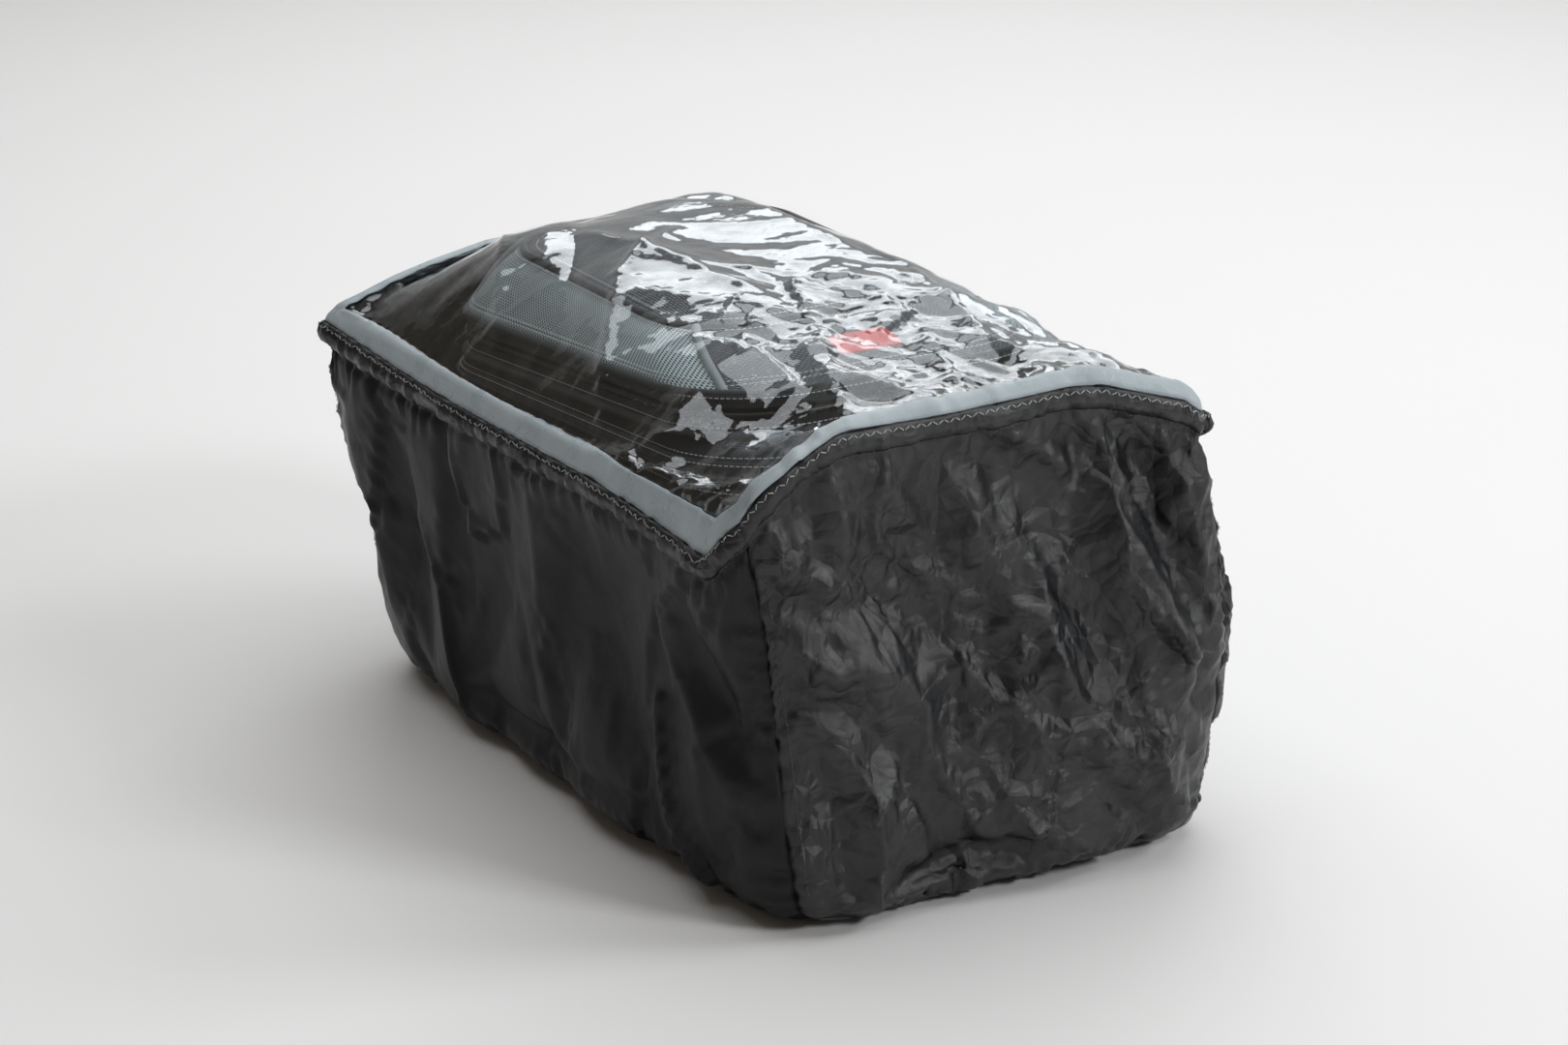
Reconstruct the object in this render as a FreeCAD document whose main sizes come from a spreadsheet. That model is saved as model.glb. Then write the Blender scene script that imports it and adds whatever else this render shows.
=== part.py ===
import FreeCAD, Part
import math
import os
import Sketcher
from FreeCAD import Placement, Rotation, Vector

# A motorcycle tank bag that wears its rain cover.
# +X is the end towards the handlebar, -Y the left side, +Z up; the bag stands on Z = 0.

SIZES = {
    "cover_length": 460, "cover_width": 264, "cover_corner": 28, "cover_fabric": 2,
    "cover_middle_x": 1.15, "cover_middle_y": 1.15, "cover_lean_x": 8, "cover_lean_y": 21,
    "rim_height": 220, "cover_fold": 22, "cover_lift_off": 0.4, "cover_gap": 0.25, "tape_fabric": 0.8,
    "hem_length": 424, "hem_width": 228, "hem_corner": 34, "casing_width": 8, "casing_height": 5,
    "casing_fabric": 1, "elastic_inset": 1.5,
    "film_drop": 2.5, "weld_width": 10, "weld_height": 0.6, "top_hem_depth": 14, "top_hem_proud": 1.2,
    "bag_middle_x": 4, "bag_middle_y": 8, "base_length": 404, "base_width": 210, "base_corner": 44,
    "belly_height": 125, "belly_length": 408, "belly_width": 214,
    "pad_length": 380, "pad_width": 188, "pad_corner": 34, "pad_thick": 4, "board_thick": 3,
    "wall_thick": 6, "lining_thick": 1, "lining_gap": 0.3,
    "zip_rear": -186, "zip_front": 131, "zip_width": 214, "zip_corner": 58,
    "zip_front_height": 226, "zip_tilt": 5.2, "tape_thick": 1, "lower_tape_top": 6,
    "chain_low": 6, "chain_top": 9, "upper_tape_low": 10.8, "lid_low": 16, "hinge_half_width": 50,
    "crown_height": 252, "crown_rear": -160, "crown_front": 48, "crown_width": 160, "crown_corner": 40,
    "crown_middle_y": 12, "cap_height": 264, "lid_thick": 5, "skin_thick": 1, "piping_radius": 2.2,
    "patch_length": 22, "patch_width": 40, "patch_corner": 4, "patch_place": 92,
    "ring_outer": 64, "ring_neck": 57.5, "ring_bore": 46, "ring_depth": 5.4, "screw_circle": 104,
    "screw_radius": 2, "screw_hole": 2.3, "head_hole": 4, "pad_hole": 66, "plate_radius": 66,
    "plate_thick": 2, "board_length": 396, "board_width": 202, "board_hole": 58,
    "bolt_width": 14, "bolt_height": 2.2, "bolt_rest": 0.2, "bolt_gap": 0.4, "bolt_length": 26,
    "tab_length": 16, "tab_overhang": 2, "finger_hole": 4.5, "nut_radius": 4, "nut_height": 3.2,
    "screw_head": 3.6, "screw_head_low": 1, "screw_head_top": 3, "ring_clear": 0.6, "channel_floor": 0.3,
    "handle_span": 104, "handle_bow": 15, "handle_width": 24, "handle_height": 158,
    "pull_length": 21, "pull_width": 6.8, "pull_thick": 1.6, "pin_radius": 0.9, "crown_hole": 1.3,
    "slider_width": 11, "slider_rest": 9, "expansion_height": 205.3, "slider_low": 3, "slider_top": 13,
    "slider_plate": 1.5, "front_plate": 1.4, "rear_plate": -3.2, "bridge_low": 9.4, "bridge_top": 10.4,
    "crown_out": 7.4, "crown_foot": 6, "crown_end": 11, "crown_thick": 3, "pivot_out": 5.4, "pivot_up": 8.5,
    "pull_swing": 28, "fork_gap": 0.8, "fork_above": 1.2, "fork_below": 3.2, "expansion_plate": 2.45,
    "expansion_drop": 7, "above_all": 400, "below_all": -60, "cut_reach": 120, "ring_sink": 0.7,
    "floor_pad": 5, "floor_lining": 6, "plate_gap": 0.1, "strap_thick": 2.4, "strap_off": 3.2,
    "grip_thick": 6, "grip_share": 0.55, "grip_edge": 2.5, "anchor_thick": 1.8, "anchor_length": 22,
    "anchor_low": -3.1, "edge_bead_low": 1, "edge_bead_top": 5, "crown_bead_below": 1.5,
    "crown_bead_above": 2.5, "bead_gap": 0.2, "patch_thick": 1.2, "patch_off": 0.6, "flap_foot": 0.6,
    "gap_depth": 30, "wedge_beyond": 1.6, "wedge_inside": 0.8,
}


def add_sheet(document):
    """Put the driving dimensions into a spreadsheet with one alias per dimension."""
    sheet = document.addObject("Spreadsheet::Sheet", "sizes")
    for row, (alias, value) in enumerate(SIZES.items(), start=1):
        sheet.set(f"A{row}", alias)
        sheet.set(f"B{row}", str(value))
        sheet.setAlias(f"B{row}", alias)
    document.recompute()
    return sheet


document = FreeCAD.newDocument("tank_bag")
sheet = add_sheet(document)
parts = []


def size(alias):
    """Read one driving dimension from the spreadsheet."""
    return float(sheet.get(alias))


# ---------------------------------------------------------------- helpers

def add_body(label):
    """Make an empty PartDesign body whose label names its exported file."""
    body = document.addObject("PartDesign::Body", label)
    body.Label = label
    parts.append(body)
    return body


def add_solid(label, shape):
    """Make a Part::Feature from a shape that PartDesign features do not suit."""
    feature = document.addObject("Part::Feature", label)
    feature.Label = label
    feature.Shape = shape
    parts.append(feature)
    return feature


def origin_plane(body, role):
    """Find one of a body's own origin planes by its role."""
    return next(item for item in body.Origin.OriginFeatures if item.Role == role)


def add_sketch(body, name, role="XY_Plane"):
    """Make a sketch on one of the body's origin planes."""
    sketch = body.newObject("Sketcher::SketchObject", name)
    sketch.AttachmentSupport = [(origin_plane(body, role), "")]
    sketch.MapMode = "FlatFace"
    return sketch


def draw_circle(sketch, radius, middle=(0, 0)):
    """Draw a circle whose radius is one of the named sizes."""
    place_at = Vector(middle[0], middle[1], 0)
    circle = sketch.addGeometry(Part.Circle(place_at, Vector(0, 0, 1), size(radius)))
    index = sketch.addConstraint(Sketcher.Constraint("Radius", circle, size(radius)))
    sketch.setExpression(f"Constraints[{index}]", f"sizes.{radius}")


def draw_rounded_rectangle(sketch, length, width, corner):
    """Draw a rounded rectangle round the origin; the sides are bound to named sizes."""
    half_x = size(length) / 2
    half_y = size(width) / 2
    radius = size(corner)
    arcs = []
    for number, (side_x, side_y) in enumerate([(1, 1), (-1, 1), (-1, -1), (1, -1)]):
        middle = Vector(side_x * (half_x - radius), side_y * (half_y - radius), 0)
        circle = Part.Circle(middle, Vector(0, 0, 1), radius)
        start = number * math.pi / 2
        arcs.append(sketch.addGeometry(Part.ArcOfCircle(circle, start, start + math.pi / 2)))
    lines = []
    for number in range(4):
        begin = sketch.getPoint(arcs[number], 2)
        finish = sketch.getPoint(arcs[(number + 1) % 4], 1)
        lines.append(sketch.addGeometry(Part.LineSegment(begin, finish)))
    for number in range(4):
        following = arcs[(number + 1) % 4]
        sketch.addConstraint(Sketcher.Constraint("Tangent", arcs[number], 2, lines[number], 1))
        sketch.addConstraint(Sketcher.Constraint("Tangent", lines[number], 2, following, 1))
    sketch.addConstraint(Sketcher.Constraint("Symmetric", lines[0], 1, lines[2], 1, -1, 1))
    sketch.addConstraint(Sketcher.Constraint("Symmetric", lines[1], 1, lines[3], 1, -1, 1))
    bindings = [("DistanceX", (lines[1], 1, lines[3], 1), half_x * 2, length),
                ("DistanceY", (lines[2], 1, lines[0], 1), half_y * 2, width),
                ("Radius", (arcs[0],), radius, corner)]
    for kind, where, value, alias in bindings:
        index = sketch.addConstraint(Sketcher.Constraint(kind, *where, value))
        sketch.setExpression(f"Constraints[{index}]", f"sizes.{alias}")


def draw_outline(sketch, points):
    """Draw a closed outline of straight lines through a few corner points."""
    corners = [Vector(x, y, 0) for x, y in points]
    count = len(corners)
    lines = [sketch.addGeometry(Part.LineSegment(corners[i], corners[(i + 1) % count]))
             for i in range(count)]
    for i in range(count):
        sketch.addConstraint(Sketcher.Constraint("Coincident", lines[i], 2, lines[(i + 1) % count], 1))


def pad(body, sketch, length, both_ways=False):
    """Pad a sketch by an expression on the sheet."""
    feature = body.newObject("PartDesign::Pad", "Pad")
    feature.Profile = sketch
    feature.Midplane = both_ways
    feature.setExpression("Length", length)
    return feature


def pocket_through(body, sketch):
    """Cut a sketch right through the body."""
    feature = body.newObject("PartDesign::Pocket", "Pocket")
    feature.Profile = sketch
    feature.Type = "ThroughAll"
    feature.Midplane = True
    return feature


def bind_place(body, **expressions):
    """Bind a body's position to expressions on the sheet, one for each axis given."""
    for axis, text in expressions.items():
        body.setExpression(f"Placement.Base.{axis}", text)


def loop_wire(length, width, corner, grow=0.0):
    """Make a rounded rectangle round the origin on Z = 0, grown outwards by a distance."""
    half_x = length / 2 + grow
    half_y = width / 2 + grow
    radius = max(corner + grow, 1.0)
    diagonal = radius * math.sqrt(0.5)
    edges = []
    for turn, (run, side) in enumerate([(half_x, half_y), (half_y, half_x)] * 2):
        middle = Vector(run - radius, side - radius, 0)
        bend = Part.Arc(middle + Vector(radius, 0, 0), middle + Vector(diagonal, diagonal, 0),
                        middle + Vector(0, radius, 0)).toShape()
        straight = Part.makeLine(Vector(run - radius, side, 0), Vector(radius - run, side, 0))
        for edge in (bend, straight):
            edge.rotate(Vector(0, 0, 0), Vector(0, 0, 1), 90 * turn)
            edges.append(edge)
    return Part.Wire(edges)


def placed(shape, x, y, z, tilt=0.0):
    """Move a copy of a shape, after tipping its +X end up by an angle in degrees."""
    copy = shape.copy()
    move = Placement(Vector(x, y, z), Rotation(Vector(0, 1, 0), -tilt))
    copy.Placement = move.multiply(copy.Placement)
    return copy


def loft(wires):
    """Make a solid that runs straight from wire to wire."""
    return Part.makeLoft(wires, True, True)


def slab(low, high):
    """Make a wide flat block between two heights."""
    return Part.makeBox(800, 800, high - low, Vector(-400, -400, low))


# ---------------------------------------------------------------- the rain cover's outer form

def cover_prism(inset):
    """The leaning box that the skirt follows, moved inwards by a distance."""
    low = inset
    high = size("rim_height") * 1.5
    wires = []
    for height in (low, high):
        lean = height / size("rim_height")
        x = size("cover_middle_x") + size("cover_lean_x") * (0.5 - lean)
        y = size("cover_middle_y") + size("cover_lean_y") * (0.5 - lean)
        wire = loop_wire(size("cover_length"), size("cover_width"), size("cover_corner"), -inset)
        wires.append(placed(wire, x, y, height))
    box = loft(wires)
    rim = [edge for edge in box.Edges if edge.BoundBox.ZMax < low + 0.01]
    return box.makeFillet(size("cover_fold") - inset, rim)


def lifted_prism(inset):
    """The leaning box at the small height at which the hem holds the skirt off the ground."""
    box = cover_prism(inset)
    box.translate(Vector(0, 0, size("cover_lift_off")))
    return box


def cover_shell(outer, inner):
    """The layer of the skirt between two distances inwards."""
    return lifted_prism(outer).cut(lifted_prism(inner))


def roof(drop):
    """The domed top of the cover: cross sections from the rear to the front, lowered by a distance."""
    sections = [
        (-240, 188, 216, 228, 226, 208), (-165, 184, 250, 268, 262, 209), (-50, 179, 262, 277, 271, 214),
        (60, 182, 262, 277, 272, 219), (130, 184, 252, 270, 266, 230), (240, 206, 250, 257, 252, 220),
    ]
    across = (-160, -92, 0, 92, 150)
    wires = []
    for x, *heights in sections:
        points = [Vector(x, across[0], -60)]
        points += [Vector(x, y, z - drop) for y, z in zip(across, heights)]
        points += [Vector(x, across[-1], -60)]
        wires.append(Part.makePolygon(points + points[:1]))
    return loft(wires)


def side_wedges():
    """Four prisms that divide the cover at its corners: left, front, right and rear."""
    middle = Vector(size("cover_middle_x"), size("cover_middle_y"), 0)
    half_x = size("cover_length") / 2
    half_y = size("cover_width") / 2
    reach = size("cut_reach")
    ends = [(-1, -1), (1, -1), (1, 1), (-1, 1)]
    wedges = []
    for side_a, side_b in zip(ends, ends[1:] + ends[:1]):
        around = ((side_a, reach), (side_b, reach), (side_b, -reach), (side_a, -reach))
        wires = []
        for height in (size("below_all"), size("above_all")):
            lean = height / size("rim_height") - 0.5
            shift = middle - Vector(size("cover_lean_x") * lean, size("cover_lean_y") * lean, -height)
            corners = [Vector(side[0] * (half_x + step), side[1] * (half_y + step), 0) + shift
                       for side, step in around]
            wires.append(Part.makePolygon(corners + corners[:1]))
        wedges.append(loft(wires))
    return wedges


def hem_hole(grow):
    """The opening inside the hem, as a tall block."""
    wire = loop_wire(size("hem_length"), size("hem_width"), size("hem_corner"), grow)
    base = placed(wire, size("cover_middle_x") + size("cover_lean_x") / 2,
                  size("cover_middle_y") + size("cover_lean_y") / 2, -20)
    return Part.Face(base).extrude(Vector(0, 0, 60))


def make_cover_skirt(under_roof):
    """The four coated fabric sides, split at the corner seams."""
    skirt = cover_shell(0, size("cover_fabric")).common(under_roof).cut(hem_hole(0))
    for label, wedge in zip(["skirt_left", "skirt_front", "skirt_right", "skirt_rear"], side_wedges()):
        add_solid(label, skirt.common(wedge))


def make_corner_seams(under_roof):
    """The taped seam allowances inside the four corners, one strip in each."""
    outside = size("cover_fabric") + size("cover_gap")
    strip = cover_shell(outside, outside + size("tape_fabric")).common(under_roof)
    strip = strip.common(slab(size("cover_fold") + 4, size("above_all")))
    corner_inset = size("cover_corner") * (1 - math.sqrt(0.5))
    half_x = size("cover_length") / 2 - corner_inset
    half_y = size("cover_width") / 2 - corner_inset
    seams = []
    for side_x, side_y in [(1, 1), (-1, 1), (-1, -1), (1, -1)]:
        foot = Vector(size("cover_middle_x") + size("cover_lean_x") / 2 + side_x * half_x,
                      size("cover_middle_y") + size("cover_lean_y") / 2 + side_y * half_y, 0)
        rise = Vector(-size("cover_lean_x"), -size("cover_lean_y"), size("rim_height"))
        seams.append(strip.common(Part.makeCylinder(9, rise.Length * 1.4, foot, rise)))
    add_solid("cover_corner_seams", Part.makeCompound(seams))


def make_window(prism, roof_outer, under_roof):
    """The clear film window with its welded edge band."""
    window = prism.common(roof_outer).cut(under_roof)
    add_solid("cover_window", window)
    raised = roof(-size("weld_height"))
    frame = cover_prism(0).cut(cover_prism(size("weld_width")))
    add_solid("window_weld_band", raised.common(frame).cut(roof_outer))


def make_top_hem(under_roof):
    """The folded hem stitched round the top of the skirt."""
    outside = cover_shell(-size("top_hem_proud") - size("cover_gap"), -size("cover_gap"))
    lower = roof(size("film_drop") + size("top_hem_depth"))
    add_solid("skirt_top_hem", outside.common(under_roof).cut(lower))


def make_hem_casing():
    """The hem casing round the bottom opening and the elastic that runs inside it."""
    floor = size("cover_fabric") + size("cover_lift_off")
    tall = size("casing_height")
    layers = []
    for inset in (0, size("casing_fabric"), size("elastic_inset")):
        ring = hem_hole(size("casing_width") - inset).cut(hem_hole(inset))
        ring = ring.common(slab(floor + inset, floor + tall - inset))
        layers.append(ring.common(lifted_prism(size("cover_fabric") + size("cover_gap") + inset)))
    tube, inside, elastic = layers
    add_solid("hem_casing", tube.cut(inside))
    add_solid("hem_elastic", elastic)


def make_cover():
    """Build every sub-part of the rain cover."""
    prism = cover_prism(0)
    roof_outer = roof(0)
    under_film = roof(size("film_drop"))
    under_gap = roof(size("film_drop") + size("cover_gap"))
    make_cover_skirt(under_gap)
    make_corner_seams(under_gap)
    make_window(prism, roof_outer, under_film)
    make_top_hem(under_gap)
    make_hem_casing()


# ---------------------------------------------------------------- the bag's outer forms

def zip_middle(along=0.0):
    """The middle of the zip line, or of a line parallel to it, as a point."""
    tilt = math.radians(size("zip_tilt"))
    half = (size("zip_front") - size("zip_rear")) / 2
    height = size("zip_front_height") - half * math.tan(tilt)
    return Vector(size("zip_front") - half - along * math.sin(tilt), size("bag_middle_y"),
                  height + along * math.cos(tilt))


def at_zip(shape, along=0.0):
    """Move a copy of a shape from its own level frame to the tilted zip line."""
    middle = zip_middle(along)
    return placed(shape, middle.x, middle.y, middle.z, size("zip_tilt"))


def zip_loop(grow, along=0.0):
    """The outline of the zip line, grown outwards by a distance."""
    length = size("zip_front") - size("zip_rear")
    return at_zip(loop_wire(length, size("zip_width"), size("zip_corner"), grow), along)


def zip_slab(low, high):
    """Everything between two levels measured square to the zip line."""
    return at_zip(slab(low, high))


def zip_ring(inner, outer, low, high):
    """A ring that follows the zip line, between two outlines and two levels."""
    ring = Part.Face(zip_loop(outer, low)).cut(Part.Face(zip_loop(inner, low)))
    tilt = math.radians(size("zip_tilt"))
    return ring.extrude(Vector(-math.sin(tilt), 0, math.cos(tilt)) * (high - low))


def wall_form(grow, low=7.0, top=0.0):
    """The solid outer form of the bag's walls, grown outwards by a distance."""
    x = size("bag_middle_x")
    y = size("bag_middle_y")
    base = loop_wire(size("base_length"), size("base_width"), size("base_corner"), grow)
    belly = loop_wire(size("belly_length"), size("belly_width"), size("base_corner") + 6, grow)
    wires = [placed(base, x, y, low), placed(belly, x, y, size("belly_height")), zip_loop(grow, top)]
    return loft(wires)


def wall_band(low, high, inner, outer):
    """A band round the walls between two levels below the zip line and two distances outwards."""
    return wall_form(outer).cut(wall_form(inner)).common(zip_slab(low, high))


def lid_form(grow, rise, low):
    """The solid outer form of the lid: zip line, crown and cap, grown outwards and upwards."""
    crown_length = size("crown_front") - size("crown_rear")
    crown_x = (size("crown_front") + size("crown_rear")) / 2
    crown = loop_wire(crown_length, size("crown_width"), size("crown_corner"), grow)
    cap = loop_wire(crown_length - 70, size("crown_width") - 80, size("crown_corner") - 6, grow)
    wires = [zip_loop(grow, low),
             placed(crown, crown_x, size("crown_middle_y"), size("crown_height") + rise),
             placed(cap, crown_x, size("crown_middle_y"), size("cap_height") + rise)]
    return loft(wires)


def screw_holes(radius, low, high):
    """Four upright cylinders on the receiver ring's screw circle."""
    holes = []
    for number in range(4):
        angle = math.radians(45 + 90 * number)
        centre = Vector(size("bag_middle_x") + size("screw_circle") / 2 * math.cos(angle),
                        size("bag_middle_y") + size("screw_circle") / 2 * math.sin(angle), low)
        holes.append(Part.makeCylinder(radius, high - low, centre))
    return Part.makeCompound(holes)


# ---------------------------------------------------------------- the bag's body

def make_base_pad():
    """The rubbery anti-slip pad under the base, cut away for the receiver ring and its latch."""
    body = add_body("base_pad")
    outline = add_sketch(body, "Outline")
    draw_rounded_rectangle(outline, "pad_length", "pad_width", "pad_corner")
    pad(body, outline, "sizes.pad_thick")
    hole = add_sketch(body, "ReceiverHole")
    draw_circle(hole, "pad_hole")
    pocket_through(body, hole)
    notch = add_sketch(body, "LatchNotch")
    draw_outline(notch, [(55, -12), (92, -12), (92, 12), (55, 12)])
    pocket_through(body, notch)
    bind_place(body, x="sizes.bag_middle_x", y="sizes.bag_middle_y")


def make_base_board():
    """The stiff board that carries the bag's load into the receiver ring."""
    body = add_body("base_board")
    outline = add_sketch(body, "Outline")
    draw_rounded_rectangle(outline, "board_length", "board_width", "base_corner")
    pad(body, outline, "sizes.board_thick")
    hole = add_sketch(body, "ReceiverHole")
    draw_circle(hole, "board_hole")
    pocket_through(body, hole)
    bind_place(body, x="sizes.bag_middle_x", y="sizes.bag_middle_y", z="sizes.pad_thick")


def make_walls():
    """The padded walls and floor, open at the top, and the lining inside them."""
    thick = size("wall_thick")
    floor = size("pad_thick") + size("board_thick")
    lining_outside = thick + size("lining_gap")
    lining_inside = lining_outside + size("lining_thick")
    holes = screw_holes(size("screw_hole"), 0, size("cut_reach"))
    cavity = wall_form(-thick, floor + size("floor_pad"), 1)
    add_solid("wall_shell", wall_form(0, floor).cut(cavity).cut(holes))
    outside = wall_form(-lining_outside, floor + size("floor_pad") + size("lining_gap"), -1)
    inside = wall_form(-lining_inside, floor + size("floor_lining") + size("lining_gap"), 0)
    add_solid("lining", outside.cut(inside).cut(holes))


def make_wall_trim():
    """The piping under the zip line and the expansion zip that runs round below it."""
    add_solid("wall_piping", wall_band(-5, -1, 0, size("piping_radius")))
    add_solid("expansion_zip_tape", wall_band(-29, -13, 0, 0.8))
    add_solid("expansion_zip_teeth", wall_band(-23, -19, 0.8, 2.2))


def rear_gap(half_width, low, high):
    """The stretch at the rear of the zip line where the hinge flap takes the zip's place."""
    block = Part.makeBox(60, 2 * half_width, high - low, Vector(-20, -half_width, low))
    length = size("zip_front") - size("zip_rear")
    block.translate(Vector(-length / 2, 0, 0))
    return at_zip(block)


def make_lower_zip():
    """The main zip's lower tape and its closed teeth, left open along the hinge flap."""
    gap = rear_gap(size("hinge_half_width"), -2, 20)
    tape = zip_ring(-size("tape_thick"), 0, 0, size("lower_tape_top"))
    add_solid("main_zip_lower_tape", tape.cut(gap))
    teeth = zip_ring(-2, 1, size("chain_low"), size("chain_top"))
    add_solid("main_zip_teeth", teeth.cut(gap))


def slope_placement(height, out=0.0):
    """A frame on the sloping front wall: X square to the wall, Y level, Z up the slope."""
    belly_front = size("bag_middle_x") + size("belly_length") / 2
    run = belly_front - size("zip_front")
    climb = size("zip_front_height") - size("belly_height")
    lean = math.degrees(math.atan2(run, climb))
    x = size("zip_front") + run * (size("zip_front_height") - height) / climb
    turn = Rotation(Vector(0, 1, 0), -lean)
    foot = Vector(x, size("bag_middle_y"), height)
    return Placement(foot + turn.multVec(Vector(out, 0, 0)), turn)


def strap_arc(thick, half_angle):
    """The cross section of a webbing strap that bows out, between two angles about its middle."""
    chord = size("handle_span") / 2
    bow = size("handle_bow")
    radius = (chord * chord + bow * bow) / (2 * bow)
    centre = Vector(bow - radius, 0, 0)
    curves = []
    for reach in (radius + thick / 2, radius - thick / 2):
        points = [centre + Vector(reach * math.cos(turn), reach * math.sin(turn), 0)
                  for turn in (-half_angle, 0, half_angle)]
        curves.append(Part.Arc(*points).toShape())
    ends = [Part.makeLine(curves[0].Vertexes[i].Point, curves[1].Vertexes[i].Point) for i in (0, 1)]
    return Part.Face(Part.Wire(Part.sortEdges(curves + ends)[0]))


def make_handle():
    """The webbing carry handle on the sloping front wall, its padded grip and its two anchors."""
    chord = size("handle_span") / 2
    bow = size("handle_bow")
    radius = (chord * chord + bow * bow) / (2 * bow)
    full = math.asin(chord / radius)
    width = size("handle_width")
    frame = slope_placement(size("handle_height"), size("strap_off"))
    strap = strap_arc(size("strap_thick"), full).extrude(Vector(0, 0, width))
    strap.translate(Vector(0, 0, -width / 2))
    edge = size("grip_edge")
    grip = strap_arc(size("grip_thick"), full * size("grip_share")).extrude(Vector(0, 0, width + 2 * edge))
    grip.translate(Vector(0, 0, -width / 2 - edge))
    long = size("anchor_length")
    anchors = [Part.makeBox(size("anchor_thick"), long, width + 4,
                            Vector(size("anchor_low"), side * (chord + 1) - long / 2, -width / 2 - 2))
               for side in (-1, 1)]
    pieces = [("carry_handle", strap), ("handle_grip", grip.cut(strap)),
              ("handle_anchors", Part.makeCompound(anchors))]
    for label, shape in pieces:
        feature = add_solid(label, shape)
        feature.Placement = frame.multiply(shape.Placement)


def make_receiver_ring():
    """The quick-release receiver ring under the base, with its latch channel and screw holes."""
    body = add_body("receiver_ring")
    flange = add_sketch(body, "Flange")
    draw_circle(flange, "ring_outer")
    pad(body, flange, "sizes.pad_thick - sizes.ring_sink")
    neck = add_sketch(body, "Neck")
    draw_circle(neck, "ring_neck")
    pad(body, neck, "sizes.pad_thick + sizes.board_thick - sizes.ring_sink")
    bore = add_sketch(body, "Bore")
    draw_circle(bore, "ring_bore")
    cut = body.newObject("PartDesign::Pocket", "BorePocket")
    cut.Profile = bore
    cut.Reversed = True
    cut.setExpression("Length", "sizes.ring_depth")
    channel = add_sketch(body, "LatchChannel")
    channel.setExpression("AttachmentOffset.Base.z", "sizes.channel_floor")
    half = size("bolt_width") / 2 + size("bolt_gap")
    draw_outline(channel, [(40, -half), (66, -half), (66, half), (40, half)])
    slot = body.newObject("PartDesign::Pocket", "ChannelPocket")
    slot.Profile = channel
    slot.Reversed = True
    slot.setExpression("Length", "sizes.bolt_height + 2 * sizes.bolt_gap")
    holes = add_sketch(body, "ScrewHoles")
    heads = add_sketch(body, "ScrewHeads")
    for number in range(4):
        angle = math.radians(45 + 90 * number)
        where = (size("screw_circle") / 2 * math.cos(angle), size("screw_circle") / 2 * math.sin(angle))
        draw_circle(holes, "screw_hole", where)
        draw_circle(heads, "head_hole", where)
    pocket_through(body, holes)
    sink = body.newObject("PartDesign::Pocket", "HeadPocket")
    sink.Profile = heads
    sink.Reversed = True
    sink.setExpression("Length", "2.6")
    bind_place(body, x="sizes.bag_middle_x", y="sizes.bag_middle_y", z="sizes.ring_clear")


def make_receiver_fasteners():
    """The backing plate inside the bag, and the screws and nuts that clamp the receiver ring."""
    body = add_body("backing_plate")
    disc = add_sketch(body, "Disc")
    draw_circle(disc, "plate_radius")
    pad(body, disc, "sizes.plate_thick")
    holes = add_sketch(body, "ScrewHoles")
    for number in range(4):
        angle = math.radians(45 + 90 * number)
        reach = size("screw_circle") / 2
        draw_circle(holes, "screw_hole", (reach * math.cos(angle), reach * math.sin(angle)))
    pocket_through(body, holes)
    top = (size("pad_thick") + size("board_thick") + size("floor_lining") + 2 * size("lining_gap")
           + size("plate_gap"))
    bind_place(body, x="sizes.bag_middle_x", y="sizes.bag_middle_y", z=f"{top}")
    nut_floor = top + size("plate_thick")
    head = size("screw_head_low")
    screws = screw_holes(size("screw_radius"), head, nut_floor + size("nut_height") + 1)
    screws = screws.fuse(screw_holes(size("screw_head"), head, size("screw_head_top")))
    add_solid("ring_screws", screws.removeSplitter())
    nuts = []
    for number in range(4):
        angle = math.radians(45 + 90 * number)
        centre = Vector(size("bag_middle_x") + size("screw_circle") / 2 * math.cos(angle),
                        size("bag_middle_y") + size("screw_circle") / 2 * math.sin(angle), nut_floor)
        reach = size("nut_radius")
        corners = [centre + Vector(reach * math.cos(turn), reach * math.sin(turn), 0)
                   for turn in [step * math.pi / 3 for step in range(7)]]
        prism = Part.Face(Part.makePolygon(corners)).extrude(Vector(0, 0, size("nut_height")))
        nuts.append(prism.cut(Part.makeCylinder(size("screw_radius"), 5, centre)))
    add_solid("ring_nuts", Part.makeCompound(nuts))


def make_latch_bolt():
    """The latch bolt, drawn back clear of the bore, with the finger tab that slides it."""
    body = add_body("latch_bolt")
    outline = add_sketch(body, "Outline")
    half = size("bolt_width") / 2
    wide = half + size("tab_overhang")
    tip = size("ring_bore") + size("bolt_rest")
    neck = tip + size("bolt_length")
    end = neck + size("tab_length")
    draw_outline(outline, [(tip, -half), (neck, -half), (neck, -wide), (end, -wide),
                           (end, wide), (neck, wide), (neck, half), (tip, half)])
    pad(body, outline, "sizes.bolt_height")
    hole = add_sketch(body, "FingerHole")
    draw_circle(hole, "finger_hole", ((neck + end) / 2, 0))
    pocket_through(body, hole)
    height = size("ring_clear") + size("channel_floor") + size("bolt_gap")
    bind_place(body, x="sizes.bag_middle_x", y="sizes.bag_middle_y", z=f"{height}")


# ---------------------------------------------------------------- the lid

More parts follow.
